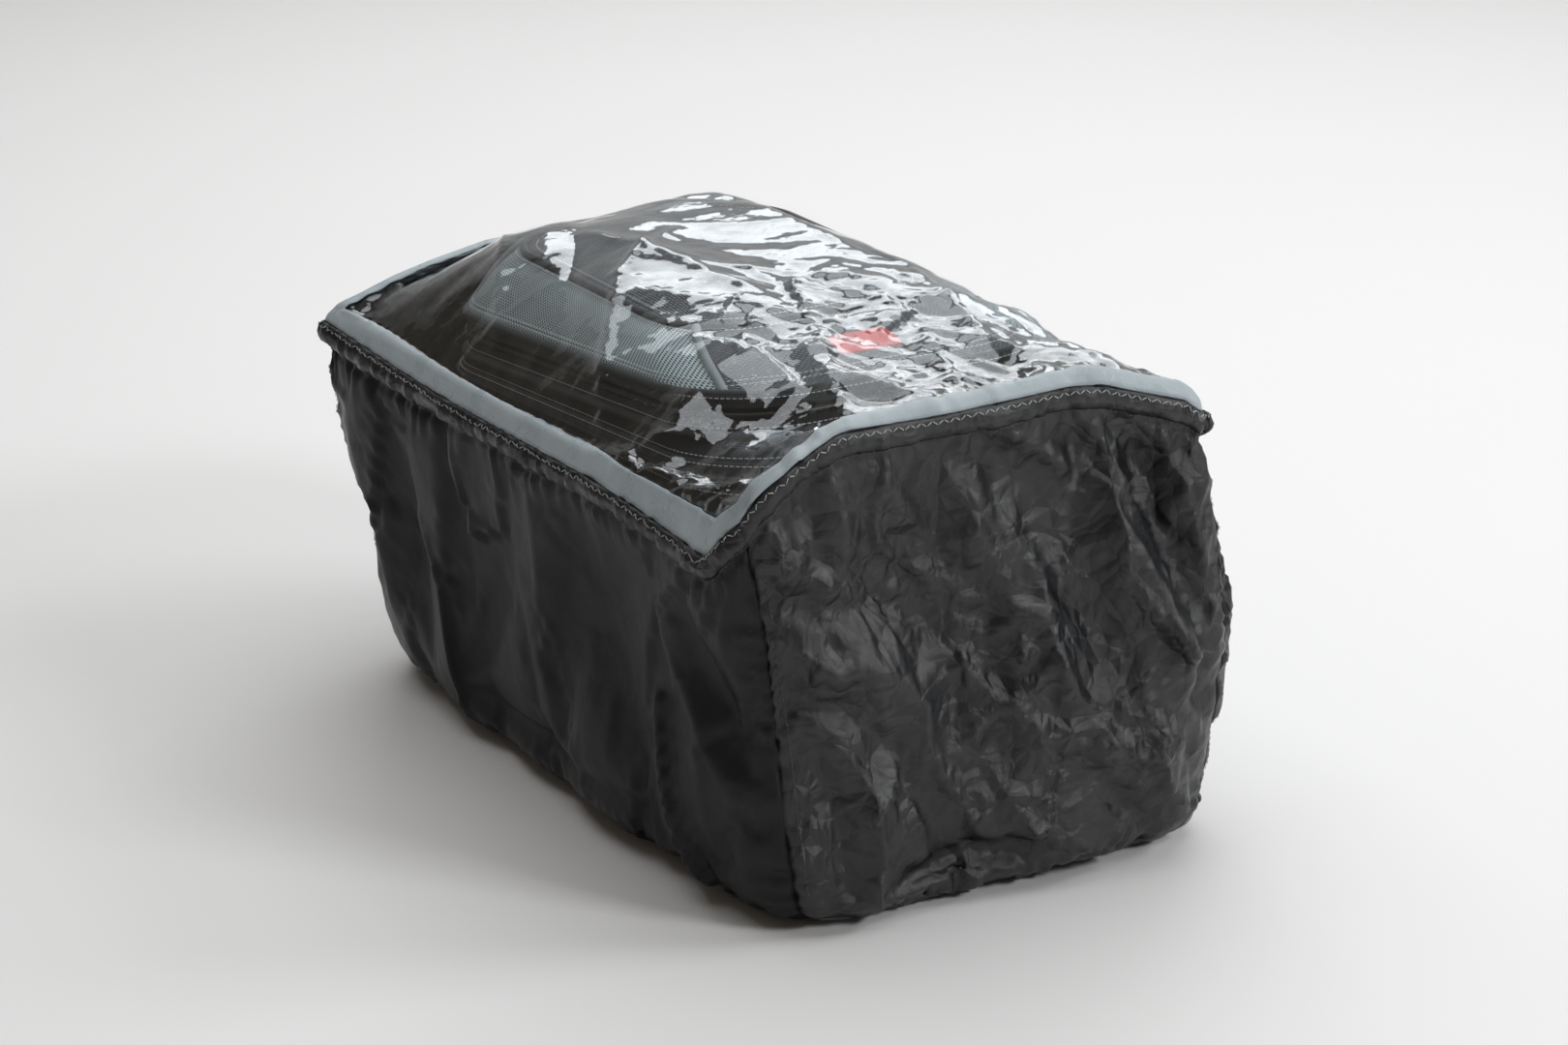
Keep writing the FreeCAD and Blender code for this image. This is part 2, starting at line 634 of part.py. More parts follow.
def lid_side_wedges():
    """Four prisms that divide the lid's sides along its corners: left, front, right and rear."""
    skirt = [(size("zip_rear"), -1), (size("zip_front"), -1), (size("zip_front"), 1), (size("zip_rear"), 1)]
    crown = [(size("crown_rear"), -1), (size("crown_front"), -1), (size("crown_front"), 1),
             (size("crown_rear"), 1)]
    beyond, inside = size("wedge_beyond"), size("wedge_inside")
    wedges = []
    for first in range(4):
        second = (first + 1) % 4
        points = []
        for corner, reach in ((first, beyond), (second, beyond), (second, -inside), (first, -inside)):
            low = Vector(skirt[corner][0],
                         size("bag_middle_y") + skirt[corner][1] * size("zip_width") / 2, 0)
            high = Vector(crown[corner][0],
                          size("crown_middle_y") + crown[corner][1] * size("crown_width") / 2, 0)
            points.append(high + (low - high) * reach)
        face = Part.Face(Part.makePolygon(points + points[:1]))
        wedges.append(face.extrude(Vector(0, 0, size("above_all"))))
    return wedges


def make_lid_panels():
    """The lid's stiff foam dome and the fabric panels that cover it."""
    low = size("lid_low")
    thick = size("lid_thick")
    skin = size("skin_thick")
    dome = lid_form(0, 0, low)
    add_solid("lid_shell", dome.cut(lid_form(-thick, -thick, low - 1)))
    cover = lid_form(skin, skin, low).cut(dome)
    split = size("crown_height") - 1
    add_solid("lid_top_panel", cover.common(slab(split, size("above_all"))))
    sides = cover.common(slab(100, split))
    labels = ["lid_mesh_left", "lid_front_panel", "lid_mesh_right", "lid_rear_panel"]
    for label, wedge in zip(labels, lid_side_wedges()):
        add_solid(label, sides.common(wedge))


def lid_corner_points():
    """The lower and upper ends of the lid's four rounded corner lines."""
    zip_inset = size("zip_corner") * (1 - math.sqrt(0.5))
    crown_inset = size("crown_corner") * (1 - math.sqrt(0.5))
    half = (size("zip_front") - size("zip_rear")) / 2 - zip_inset
    side = size("zip_width") / 2 - zip_inset
    tilt = math.radians(size("zip_tilt"))
    middle = zip_middle(size("lid_low"))
    points = []
    for way, ends in ((1, size("crown_front") - crown_inset), (-1, size("crown_rear") + crown_inset)):
        for across in (-1, 1):
            low = middle + Vector(way * half * math.cos(tilt), across * side, way * half * math.sin(tilt))
            high = Vector(ends, size("crown_middle_y") + across * (size("crown_width") / 2 - crown_inset),
                          size("crown_height"))
            points.append((low, high))
    return points


def make_lid_piping():
    """The piping round the lid's lower edge, round its crown and down its four corners."""
    low = size("lid_low")
    skin = size("skin_thick")
    bead = skin + size("piping_radius")
    covered = lid_form(skin, skin, low)
    edge_top = low + size("edge_bead_top")
    edge = lid_form(bead, skin, low).cut(covered).common(zip_slab(low + size("edge_bead_low"), edge_top))
    add_solid("lid_edge_piping", edge)
    crown = lid_form(bead, bead, low).cut(covered)
    crown_low = size("crown_height") - size("crown_bead_below")
    crown = crown.common(slab(crown_low, size("crown_height") + size("crown_bead_above")))
    add_solid("lid_crown_piping", crown)
    gap = size("bead_gap")
    between = covered.fuse(zip_slab(low - size("zip_corner"), edge_top + gap))
    between = between.fuse(slab(crown_low - gap, size("above_all")))
    beads = []
    for foot, head in lid_corner_points():
        way = head - foot
        beads.append(Part.makeCylinder(size("piping_radius"), way.Length, foot, way).cut(between))
    add_solid("lid_corner_piping", Part.makeCompound(beads))


def make_lid_zip():
    """The main zip's upper tape and the fabric flap that hinges the lid at its rear."""
    half = size("hinge_half_width")
    tape = zip_ring(-size("tape_thick"), 0, size("upper_tape_low"), size("lid_low"))
    add_solid("main_zip_upper_tape", tape.cut(rear_gap(half, 0, size("gap_depth"))))
    flap = zip_ring(-size("tape_thick"), 0, size("flap_foot"), size("lid_low"))
    add_solid("lid_hinge_flap", flap.common(rear_gap(half - 1, 0, size("gap_depth"))))


def make_lid_patch():
    """A plain coloured patch sewn on the lid's front panel."""
    front = zip_middle(size("lid_low")).x + (size("zip_front") - size("zip_rear")) / 2
    run = front - size("crown_front")
    foot_height = size("zip_front_height") + size("lid_low")
    climb = size("crown_height") - foot_height
    body = add_body("lid_patch")
    outline = add_sketch(body, "Outline")
    draw_rounded_rectangle(outline, "patch_length", "patch_width", "patch_corner")
    pad(body, outline, "sizes.patch_thick")
    slope = math.degrees(math.atan2(climb, run))
    share = (front - size("patch_place")) / run
    height = foot_height + share * climb + size("skin_thick") + size("patch_off")
    body.Placement = Placement(Vector(size("patch_place"), size("crown_middle_y"), height),
                               Rotation(Vector(0, 1, 0), slope))


# ---------------------------------------------------------------- sliders and pulls

def make_slider(label, profile, frame):
    """A zip slider: its plates as one profile, with a crown that holds the pull's pin."""
    body = add_body(label)
    plates = add_sketch(body, "Plates", "XZ_Plane")
    draw_outline(plates, profile)
    pad(body, plates, "sizes.slider_width", True)
    crown = add_sketch(body, "Crown", "XZ_Plane")
    low = size("crown_foot")
    top = size("crown_end")
    root = size("front_plate") + size("slider_plate")
    end = size("crown_out")
    draw_outline(crown, [(root, low), (end, low), (end, top), (root, top)])
    pad(body, crown, "sizes.crown_thick", True)
    hole = add_sketch(body, "PinHole", "XZ_Plane")
    draw_circle(hole, "crown_hole", (size("pivot_out"), size("pivot_up")))
    pocket_through(body, hole)
    body.Placement = frame


def make_pull(label, frame, swing):
    """A pull tab with a fork and a pin that turns in the slider's crown."""
    body = add_body(label)
    half = size("pull_width") / 2
    outline = add_sketch(body, "Outline", "YZ_Plane")
    fork = (size("crown_thick") + size("fork_gap")) / 2
    above = size("fork_above")
    below = -size("fork_below")
    draw_outline(outline, [(-half, above), (-fork, above), (-fork, below), (fork, below), (fork, above),
                           (half, above), (half, -size("pull_length")), (-half, -size("pull_length"))])
    pad(body, outline, "sizes.pull_thick", True)
    pin = add_sketch(body, "Pin", "XZ_Plane")
    draw_circle(pin, "pin_radius")
    pad(body, pin, "sizes.pull_width", True)
    pivot = frame.multVec(Vector(size("pivot_out"), 0, size("pivot_up")))
    body.Placement = Placement(pivot, frame.Rotation.multiply(Rotation(Vector(0, 1, 0), -swing)))


def make_sliders():
    """The two main sliders and the expansion slider, each with its pull."""
    low = size("slider_low")
    top = size("slider_top")
    under = size("bridge_low")
    over = size("bridge_top")
    front = size("front_plate")
    outside = front + size("slider_plate")
    rear = size("rear_plate")
    inside = rear - size("slider_plate")
    main_profile = [(front, low), (outside, low), (outside, top), (front, top), (front, over),
                    (rear, over), (rear, top), (inside, top), (inside, low + 1), (rear, low + 1),
                    (rear, under), (front, under)]
    near = size("expansion_plate")
    far = near + size("slider_plate")
    expansion_profile = [(near, low - 2), (far, low - 2), (far, top), (near, top)]
    tilt = Rotation(Vector(0, 1, 0), -size("zip_tilt"))
    for label, side in (("left", -1), ("right", 1)):
        foot = Vector(size("zip_front"), size("bag_middle_y") + side * size("slider_rest"),
                      size("zip_front_height"))
        frame = Placement(foot, tilt)
        make_slider(f"main_slider_{label}", main_profile, frame)
        make_pull(f"main_pull_{label}", frame, size("pull_swing"))
    drop = Placement(Vector(0, 0, -size("expansion_drop")), Rotation())
    frame = slope_placement(size("expansion_height")).multiply(drop)
    make_slider("expansion_slider", expansion_profile, frame)
    make_pull("expansion_pull", frame, 0)


def check_and_export():
    """Recompute, check every object and write each sub-part to its own file."""
    document.recompute()
    for item in document.Objects:
        if "Invalid" in item.State or "Error" in item.State:
            raise RuntimeError(f"{item.Label} is in error: {item.State}")
    os.makedirs("parts", exist_ok=True)
    for part in parts:
        if part.Shape.isNull() or not part.Shape.isValid() or not part.Shape.Solids:
            raise RuntimeError(f"{part.Label} has no valid shape")
        part.Shape.exportStep(f"parts/{part.Label}.step")


make_cover()
make_base_pad()
make_base_board()
make_walls()
make_wall_trim()
make_lower_zip()
make_handle()
make_receiver_ring()
make_receiver_fasteners()
make_latch_bolt()
make_lid_panels()
make_lid_piping()
make_lid_zip()
make_lid_patch()
make_sliders()
check_and_export()
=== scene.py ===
"""Looks of a motorcycle tank bag that wears its rain cover.

Every piece is a surface worked out with numpy in metres, in the frame of the CAD model:
+X is the end towards the handlebar, -Y the left side and +Z up.
"""

import logging
import math
from dataclasses import dataclass, field
from enum import Enum
from typing import Any, Sequence

import bpy
import numpy as np
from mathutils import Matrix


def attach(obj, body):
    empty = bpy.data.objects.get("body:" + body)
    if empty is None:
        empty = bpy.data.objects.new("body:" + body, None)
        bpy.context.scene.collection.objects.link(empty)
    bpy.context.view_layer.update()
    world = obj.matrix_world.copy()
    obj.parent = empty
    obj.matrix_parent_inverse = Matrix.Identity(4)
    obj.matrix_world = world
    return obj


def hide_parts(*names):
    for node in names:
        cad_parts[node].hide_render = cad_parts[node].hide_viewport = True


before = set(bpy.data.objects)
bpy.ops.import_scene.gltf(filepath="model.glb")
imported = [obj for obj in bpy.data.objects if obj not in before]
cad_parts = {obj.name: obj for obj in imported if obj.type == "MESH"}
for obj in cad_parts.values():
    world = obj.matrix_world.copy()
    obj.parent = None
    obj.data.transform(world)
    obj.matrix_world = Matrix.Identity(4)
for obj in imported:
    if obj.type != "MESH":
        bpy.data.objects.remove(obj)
LOG = logging.getLogger("tank_bag")
Array = np.ndarray
UPWARDS = np.array([0.0, 0.0, 1.0])


# ------------------------------------------------------------------ shader building blocks

class Value:
    """A shader socket that adds Math nodes where it is used in an expression."""

    def __init__(self, shader: "Shader", socket: Any) -> None:
        """Keep the shader that owns the socket."""
        self.shader = shader
        self.socket = socket

    def _math(self, operation: str, first: Any, second: Any = 0.0) -> "Value":
        """Add one Math node and return its result."""
        return self.shader.node("ShaderNodeMath", {"operation": operation}, {0: first, 1: second})[0]

    def __add__(self, other: Any) -> "Value":
        """Sum."""
        return self._math("ADD", self, other)

    def __radd__(self, other: Any) -> "Value":
        """Sum, reflected."""
        return self._math("ADD", other, self)

    def __sub__(self, other: Any) -> "Value":
        """Difference."""
        return self._math("SUBTRACT", self, other)

    def __rsub__(self, other: Any) -> "Value":
        """Difference, reflected."""
        return self._math("SUBTRACT", other, self)

    def __mul__(self, other: Any) -> "Value":
        """Product."""
        return self._math("MULTIPLY", self, other)

    def __rmul__(self, other: Any) -> "Value":
        """Product, reflected."""
        return self._math("MULTIPLY", other, self)

    def __truediv__(self, other: Any) -> "Value":
        """Quotient."""
        return self._math("DIVIDE", self, other)

    def sin(self) -> "Value":
        """Sine, in radians."""
        return self._math("SINE", self)

    def abs(self) -> "Value":
        """Absolute value."""
        return self._math("ABSOLUTE", self)

    def floor(self) -> "Value":
        """Largest whole number below."""
        return self._math("FLOOR", self)

    def fraction(self) -> "Value":
        """What is above the whole number."""
        return self._math("FRACT", self)

    def power(self, exponent: Any) -> "Value":
        """Raised to an exponent."""
        return self._math("POWER", self, exponent)

    def most(self, other: Any) -> "Value":
        """The greater of the two."""
        return self._math("MAXIMUM", self, other)

    def least(self, other: Any) -> "Value":
        """The smaller of the two."""
        return self._math("MINIMUM", self, other)


class Shader:
    """One material and its node tree."""

    def __init__(self, name: str) -> None:
        """Start an empty material.

        Args:
            name: the material's name.
        """
        self.material = bpy.data.materials.new(name)
        self.material.use_nodes = True
        self.tree = self.material.node_tree
        self.tree.nodes.clear()

    def node(self, kind: str, settings: dict[str, Any] | None = None,
             inputs: dict[Any, Any] | None = None) -> list[Value]:
        """Add a node.

        Args:
            kind: the node's type.
            settings: properties, which are set first.
            inputs: numbers, colours or Values for its sockets, by name or index.

        Returns:
            Its output sockets as Values.
        """
        made = self.tree.nodes.new(kind)
        for key, value in (settings or {}).items():
            setattr(made, key, value)
        for key, value in (inputs or {}).items():
            if isinstance(value, Value):
                self.tree.links.new(value.socket, made.inputs[key])
            else:
                made.inputs[key].default_value = value
        return [Value(self, output) for output in made.outputs]

    def object_place(self) -> Value:
        """Object coordinates in metres."""
        return self.node("ShaderNodeTexCoord")[3]

    def surface_place(self) -> tuple[Value, Value]:
        """The piece's own surface coordinates in millimetres."""
        parts = self.node("ShaderNodeSeparateXYZ", None, {0: self.node("ShaderNodeTexCoord")[2]})
        return parts[0] * 1000.0, parts[1] * 1000.0

    def noise(self, scale: float, detail: float = 3.0, roughness: float = 0.5) -> Value:
        """Smooth noise over object coordinates, from 0 to 1."""
        return self.node("ShaderNodeTexNoise", None, {
            "Vector": self.object_place(), "Scale": scale, "Detail": detail, "Roughness": roughness})[0]

    def blend(self, mask: Value, low: Sequence[float], high: Sequence[float]) -> Value:
        """Mix two colours by a mask."""
        return self.node("ShaderNodeMix", {"data_type": "RGBA"},
                         {0: mask, 6: (*low, 1.0), 7: (*high, 1.0)})[2]

    def bump(self, height: Value, distance: float, strength: float = 1.0) -> Value:
        """A normal from a height between 0 and 1, over a distance in metres."""
        return self.node("ShaderNodeBump", None, {
            "Strength": strength, "Distance": distance, "Height": height})[0]

    def principled(self, **sockets: Any) -> Value:
        """A Principled BSDF; underscores in the names stand for spaces."""
        named = {key.replace("_", " "): value for key, value in sockets.items()}
        return self.node("ShaderNodeBsdfPrincipled", None, named)[0]

    def finish(self, surface: Value) -> bpy.types.Material:
        """Join the surface to the output and return the material."""
        self.node("ShaderNodeOutputMaterial", None, {0: surface})
        return self.material


# ------------------------------------------------------------------ finishes

@dataclass(frozen=True)
class CoatedNylon:
    """Thin black rain nylon with a soft sheen and a very fine weave."""

    name: str = "coated_nylon"
    colour: tuple[float, float, float] = (0.0062, 0.0068, 0.0086)
    worn: tuple[float, float, float] = (0.0110, 0.0118, 0.0140)
    roughness: float = 0.30
    thread_mm: float = 0.45
    creased: float = 1.0
    # Specular level. The high default makes this the lit copy on the front and rear: painted highlight on the
    # front, against the lower gloss of the calm copy on the long sides.
    gloss: float = 0.62

    def material(self) -> bpy.types.Material:
        """Weave, flat-sided creases and cloudy roughness."""
        shader = Shader(self.name)
        across, along = shader.surface_place()
        turn = 2 * math.pi / self.thread_mm
        weave = (across * turn).sin() * (along * turn).sin() * 0.5 + 0.5
        cloud = shader.noise(9.0, 4.0)
        crinkle = shader.noise(55.0, 5.0, 0.62)
        warp = shader.node("ShaderNodeTexNoise", None, {"Vector": shader.object_place(), "Scale": 13.0})[1]
        bent = shader.node("ShaderNodeVectorMath", {"operation": "MULTIPLY_ADD"},
                           {0: warp, 1: (0.05, 0.05, 0.03), 2: shader.object_place()})[0]
        edges = [shader.node("ShaderNodeTexVoronoi", {"feature": "DISTANCE_TO_EDGE"},
                             {"Vector": bent, "Scale": scale})[0] for scale in (34.0, 80.0)]
        creases = (edges[0].least(0.4) * 8.0 + edges[1].least(0.4) * 3.0) * (cloud * 1.4) * self.creased
        normal = shader.bump(weave * 0.07 + crinkle * 0.55 + creases, 0.0008, 1.0)
        tone = shader.blend(cloud, self.colour, self.worn)
        rough = shader.noise(24.0, 3.0) * 0.16 + (self.roughness - 0.06)
        return shader.finish(shader.principled(
            Base_Color=tone, Roughness=rough, Normal=normal, Specular_IOR_Level=self.gloss))


@dataclass(frozen=True)
class ClearFilm:
    """Clear glossy film: it mirrors by the angle of view and is otherwise see-through."""

    name: str = "clear_film"
    tint: tuple[float, float, float] = (0.90, 0.925, 0.94)
    roughness: float = 0.045
    haze: float = 0.010
    straight: float = 0.045
    falloff: float = 4.6

    def material(self) -> bpy.types.Material:
        """A mirror and a clear pane, mixed by a power of how far the film turns from the viewer."""
        shader = Shader(self.name)
        ripple = shader.noise(38.0, 3.0, 0.5)
        fine = shader.noise(160.0, 2.0, 0.5)
        normal = shader.bump(ripple * 0.85 + fine * 0.10, 0.0016, 0.55)
        mirror = shader.principled(Base_Color=(0.97, 0.985, 1.0, 1.0), Metallic=1.0,
                                   Roughness=self.roughness, Normal=normal)
        clear = shader.node("ShaderNodeBsdfTransparent", None, {0: (*self.tint, 1.0)})[0]
        facing = shader.node("ShaderNodeLayerWeight", None, {"Blend": 0.5, "Normal": normal})[1]
        rim = facing.power(self.falloff) * (1.0 - self.straight) + self.straight
        dust = (shader.noise(420.0, 2.0) - 0.62).most(0.0) * 0.5
        share = (rim + self.haze + dust).least(1.0)
        return shader.finish(shader.node("ShaderNodeMixShader", None, {0: share, 1: clear, 2: mirror})[0])


@dataclass(frozen=True)
class FrostedWeld:
    """Film welded onto a backing strip: milky blue-grey with a fine embossed grid."""

    name: str = "frosted_weld"
    colour: tuple[float, float, float] = (0.30, 0.37, 0.41)
    pale: tuple[float, float, float] = (0.56, 0.63, 0.67)

    def material(self) -> bpy.types.Material:
        """Embossed grid, cloudy tone."""
        shader = Shader(self.name)
        across, along = shader.surface_place()
        grid = (across * 4.2).sin().abs() * (along * 4.2).sin().abs()
        cloud = shader.noise(30.0, 4.0, 0.6)
        tone = shader.blend(cloud, self.colour, self.pale)
        return shader.finish(shader.principled(
            Base_Color=tone, Roughness=cloud * 0.2 + 0.18, Alpha=cloud * 0.2 + 0.76,
            Normal=shader.bump(grid * 0.4 + cloud * 0.6, 0.0006, 0.6), Specular_IOR_Level=0.6))


@dataclass(frozen=True)
class WovenBars:
    """Coarse woven fabric whose glossy threads show as rows of short bars."""

    name: str = "woven_top"
    dark: tuple[float, float, float] = (0.006, 0.006, 0.008)
    thread: tuple[float, float, float] = (0.13, 0.14, 0.15)
    bar_mm: float = 3.4
    row_mm: float = 1.7

    def material(self) -> bpy.types.Material:
        """Rows of bars, every second row set over by half a bar."""
        shader = Shader(self.name)
        across, along = shader.surface_place()
        row = along / self.row_mm
        shift = (row.floor() * 0.5).fraction()
        run = (across / self.bar_mm + shift).fraction()
        high = (run * math.pi).sin().power(0.5) * (row.fraction() * math.pi).sin().power(0.6)
        cloud = shader.noise(14.0, 3.0)
        tone = shader.blend(high * (cloud * 0.8 + 0.5), self.dark, self.thread)
        return shader.finish(shader.principled(
            Base_Color=tone, Roughness=0.62 - high * 0.24, Normal=shader.bump(high, 0.0006, 0.9),
            Specular_IOR_Level=0.6))


@dataclass(frozen=True)
class AirMesh:
    """Three-dimensional spacer mesh: light ribs round dark open cells."""

    name: str = "air_mesh"
    hole: tuple[float, float, float] = (0.008, 0.009, 0.010)
    rib: tuple[float, float, float] = (0.62, 0.69, 0.69)
    cell_mm: float = 2.6

    def material(self) -> bpy.types.Material:
        """Two lattices of round cells, set over by half a cell, the nearer one shows."""
        shader = Shader(self.name)
        across, along = shader.surface_place()
        cells = []
        for shift in (0.0, 0.5):
            x = (across / self.cell_mm + shift).fraction() - 0.5
            y = (along / (self.cell_mm * 1.4) + shift).fraction() - 0.5
            cells.append((x * x + y * y * 1.6).power(0.5))
        edge = cells[0].least(cells[1])
        rib = ((edge - 0.17) * 7.0).most(0.0).least(1.0)
        cloud = shader.noise(26.0, 4.0)
        tone = shader.blend(rib * (cloud * 0.7 + 0.55), self.hole, self.rib)
        return shader.finish(shader.principled(
            Base_Color=tone, Roughness=0.72, Normal=shader.bump(rib, 0.0008, 0.9), Sheen_Weight=0.15))


class Weave(Enum):
    """How a plain fabric is woven."""

    PLAIN = 1
    RIBBED = 2
    WEBBING = 3


@dataclass(frozen=True)
class PlainFabric:
    """A dull woven fabric in one colour."""

    name: str
    colour: tuple[float, float, float]
    thread_mm: float = 0.8
    roughness: float = 0.75
    weave: Weave = Weave.PLAIN
    sheen: float = 0.12

    def material(self) -> bpy.types.Material:
        """Threads as crossed or one-way waves, with a cloudy tone."""
        shader = Shader(self.name)
        across, along = shader.surface_place()
        turn = 2 * math.pi / self.thread_mm
        warp = (across * turn).sin() * 0.5 + 0.5
        weft = (along * turn).sin() * 0.5 + 0.5
        if self.weave is Weave.RIBBED:
            height = warp * 0.85 + weft * 0.15
        elif self.weave is Weave.WEBBING:
            lean = ((across + along * 0.8) * turn * 0.5).sin() * 0.5 + 0.5
            height = lean * 0.7 + weft * 0.3
        else:
            height = warp * weft
        cloud = shader.noise(20.0, 4.0)
        pale = tuple(min(1.0, part * 1.9 + 0.004) for part in self.colour)
        tone = shader.blend(height * 0.5 + cloud * 0.5, self.colour, pale)
        return shader.finish(shader.principled(
            Base_Color=tone, Roughness=self.roughness, Normal=shader.bump(height, 0.0003, 0.8),
            Sheen_Weight=self.sheen))


@dataclass(frozen=True)
class Moulded:
    """Moulded plastic, rubber or painted metal with a fine grain."""

    name: str
    colour: tuple[float, float, float]
    roughness: float = 0.5
    metallic: float = 0.0
    grain: float = 900.0
    depth: float = 0.00012

    def material(self) -> bpy.types.Material:
        """Grain in the bump, handling marks in the roughness."""
        shader = Shader(self.name)
        grain = shader.noise(self.grain, 2.0)
        marks = shader.noise(45.0, 4.0, 0.6)
        worn = tuple(min(1.0, part * 1.35 + 0.006) for part in self.colour)
        tone = shader.blend(marks, self.colour, worn)
        return shader.finish(shader.principled(
            Base_Color=tone, Roughness=marks * 0.18 + (self.roughness - 0.09), Metallic=self.metallic,
            Normal=shader.bump(grain, self.depth, 0.7)))


@dataclass(frozen=True)
class StudioPaper:
    """The pale seamless paper that the bag stands on."""

    name: str = "studio_paper"
    colour: tuple[float, float, float] = (0.80, 0.80, 0.805)

    def material(self) -> bpy.types.Material:
        """A plain matte sheet with the faintest mottling."""
        shader = Shader(self.name)
        shade = shader.noise(3.0, 2.0)
        darker = tuple(part * 0.985 for part in self.colour)
        return shader.finish(shader.principled(
            Base_Color=shader.blend(shade, darker, self.colour), Roughness=0.6, Specular_IOR_Level=0.25))


class Wardrobe:
    """All finishes by name, each made once."""

    def __init__(self) -> None:
        """Make every finish."""
        finishes = [
            # The calm copy of the coated nylon has fewer creases, which is its shape, and a lower gloss,
            # which is painted shade: it darkens the long sides, the left of which stands in shade.
            CoatedNylon(), CoatedNylon("calm_shaded_nylon", roughness=0.34, creased=0.15, gloss=0.26),
            ClearFilm(), FrostedWeld(), WovenBars(), AirMesh(), StudioPaper(),
            PlainFabric("black_nylon", (0.020, 0.025, 0.036), 0.7, 0.55),
            PlainFabric("grey_lining", (0.20, 0.21, 0.22), 0.6, 0.6),
            PlainFabric("black_piping", (0.020, 0.022, 0.025), 0.6, 0.4),
            PlainFabric("grey_piping", (0.30, 0.32, 0.325), 0.6, 0.5),
            PlainFabric("zip_tape", (0.014, 0.014, 0.016), 0.9, 0.7, Weave.RIBBED),
            PlainFabric("black_webbing", (0.016, 0.016, 0.017), 1.6, 0.6, Weave.WEBBING),
            PlainFabric("grip_padding", (0.02, 0.02, 0.021), 0.9, 0.7),
            PlainFabric("lid_foam", (0.022, 0.022, 0.024), 0.8, 0.75),
            PlainFabric("seam_tape", (0.03, 0.03, 0.031), 0.6, 0.5, Weave.RIBBED),
            PlainFabric("elastic", (0.05, 0.05, 0.05), 1.2, 0.7, Weave.RIBBED),
            PlainFabric("thread", (0.82, 0.82, 0.79), 0.35, 0.5, Weave.WEBBING),
            PlainFabric("dark_thread", (0.045, 0.044, 0.042), 0.35, 0.6, Weave.WEBBING),
            Moulded("zip_teeth", (0.012, 0.012, 0.013), 0.3),
            Moulded("anti_slip_rubber", (0.02, 0.02, 0.021), 0.75, 0.0, 260.0, 0.0004),
            Moulded("moulded_board", (0.02, 0.02, 0.02), 0.55),
            Moulded("ring_plastic", (0.018, 0.018, 0.019), 0.5, 0.0, 500.0, 0.0002),
            Moulded("steel_fastener", (0.55, 0.55, 0.54), 0.32, 1.0),
            Moulded("black_metal", (0.02, 0.02, 0.022), 0.35, 0.7),
            Moulded("red_patch", (0.62, 0.018, 0.012), 0.42, 0.0, 700.0, 0.0001),
        ]
        self.materials = {finish.name: finish.material() for finish in finishes}

    def put(self, piece: bpy.types.Object, finish: str, body: str, *nodes: str,
            slot: str | None = None) -> bpy.types.Object:
        """Dress a piece, let it ride on a body and stand for its CAD nodes.

        Args:
            piece: the piece.
            finish: the name of its finish.
            body: the CAD body that it moves with.
            nodes: the CAD nodes that it stands for, if any.
            slot: not used.

        Returns:
            The piece.
        """
        piece.data.materials.clear()
        piece.data.materials.append(self.materials[finish])
        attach(piece, body)
        if nodes:
            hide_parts(*nodes)
        return piece


# ------------------------------------------------------------------ meshes from grids

def grid_faces(rows: int, columns: int, around: bool = False, closed_rows: bool = False) -> Array:
    """Quads of a grid of points, row by row.

    Args:
        rows: rows of points.
        columns: columns of points.
        around: whether the last column joins the first.
        closed_rows: whether the last row joins the first.

    Returns:
        Four point numbers for each quad.
    """
    last_column = columns if around else columns - 1
    last_row = rows if closed_rows else rows - 1
    row, column = np.meshgrid(np.arange(last_row), np.arange(last_column), indexing="ij")
    below = (row + 1) % rows
    beside = (column + 1) % columns
    quads = np.stack([row * columns + column, row * columns + beside,
                      below * columns + beside, below * columns + column], axis=-1)
    return quads.reshape(-1, 4)


def with_caps(quads: Array, rows: int, columns: int, first: bool = True, last: bool = True,
              flipped: bool = False) -> Array:
    """Quads of a grid, with a many-sided face over its first row, its last row or both.

    Args:
        quads: the grid's quads.
        rows: rows of points.
        columns: columns of points.
        first: whether the first row is closed.
        last: whether the last row is closed.
        flipped: whether every face is turned over.

    Returns:
        All faces, as lists of point numbers.
    """
    way = -1 if flipped else 1
    faces = quads[:, ::way].tolist()
    if first:
        faces.append(list(range(columns))[::-way])
    if last:
        faces.append(list(range((rows - 1) * columns, rows * columns))[::way])
    return np.array(faces, dtype=object)


def closed_faces(grid: Array, first: bool = True, last: bool = True) -> Array:
    """Faces of a grid whose columns close on themselves, with its end rows covered."""
    rows, columns = grid.shape[:2]
    return with_caps(grid_faces(rows, columns, True), rows, columns, first, last)


def make_mesh(name: str, points: Array, faces: Array, surface: Array | None = None) -> bpy.types.Object:
    """Make an object from points and faces.

    Args:
        name: the piece's name.
        points: coordinates in metres, any shape that ends in three.
        faces: quads or triangles as whole numbers.
        surface: surface coordinates in metres for each point, for the weave.

    Returns:
        The linked object.
    """
    mesh = bpy.data.meshes.new(name)
    flat = points.reshape(-1, 3)
    mesh.from_pydata(flat.tolist(), [], faces.tolist())
    layer = mesh.uv_layers.new(name="surface")
    if surface is not None:
        corners = np.empty(len(mesh.loops), dtype=np.int32)
        mesh.loops.foreach_get("vertex_index", corners)
        layer.data.foreach_set("uv", surface.reshape(-1, 2)[corners].ravel())
    mesh.polygons.foreach_set("use_smooth", np.full(len(mesh.polygons), True))
    mesh.update()
    piece = bpy.data.objects.new(name, mesh)
    bpy.context.scene.collection.objects.link(piece)
    return piece


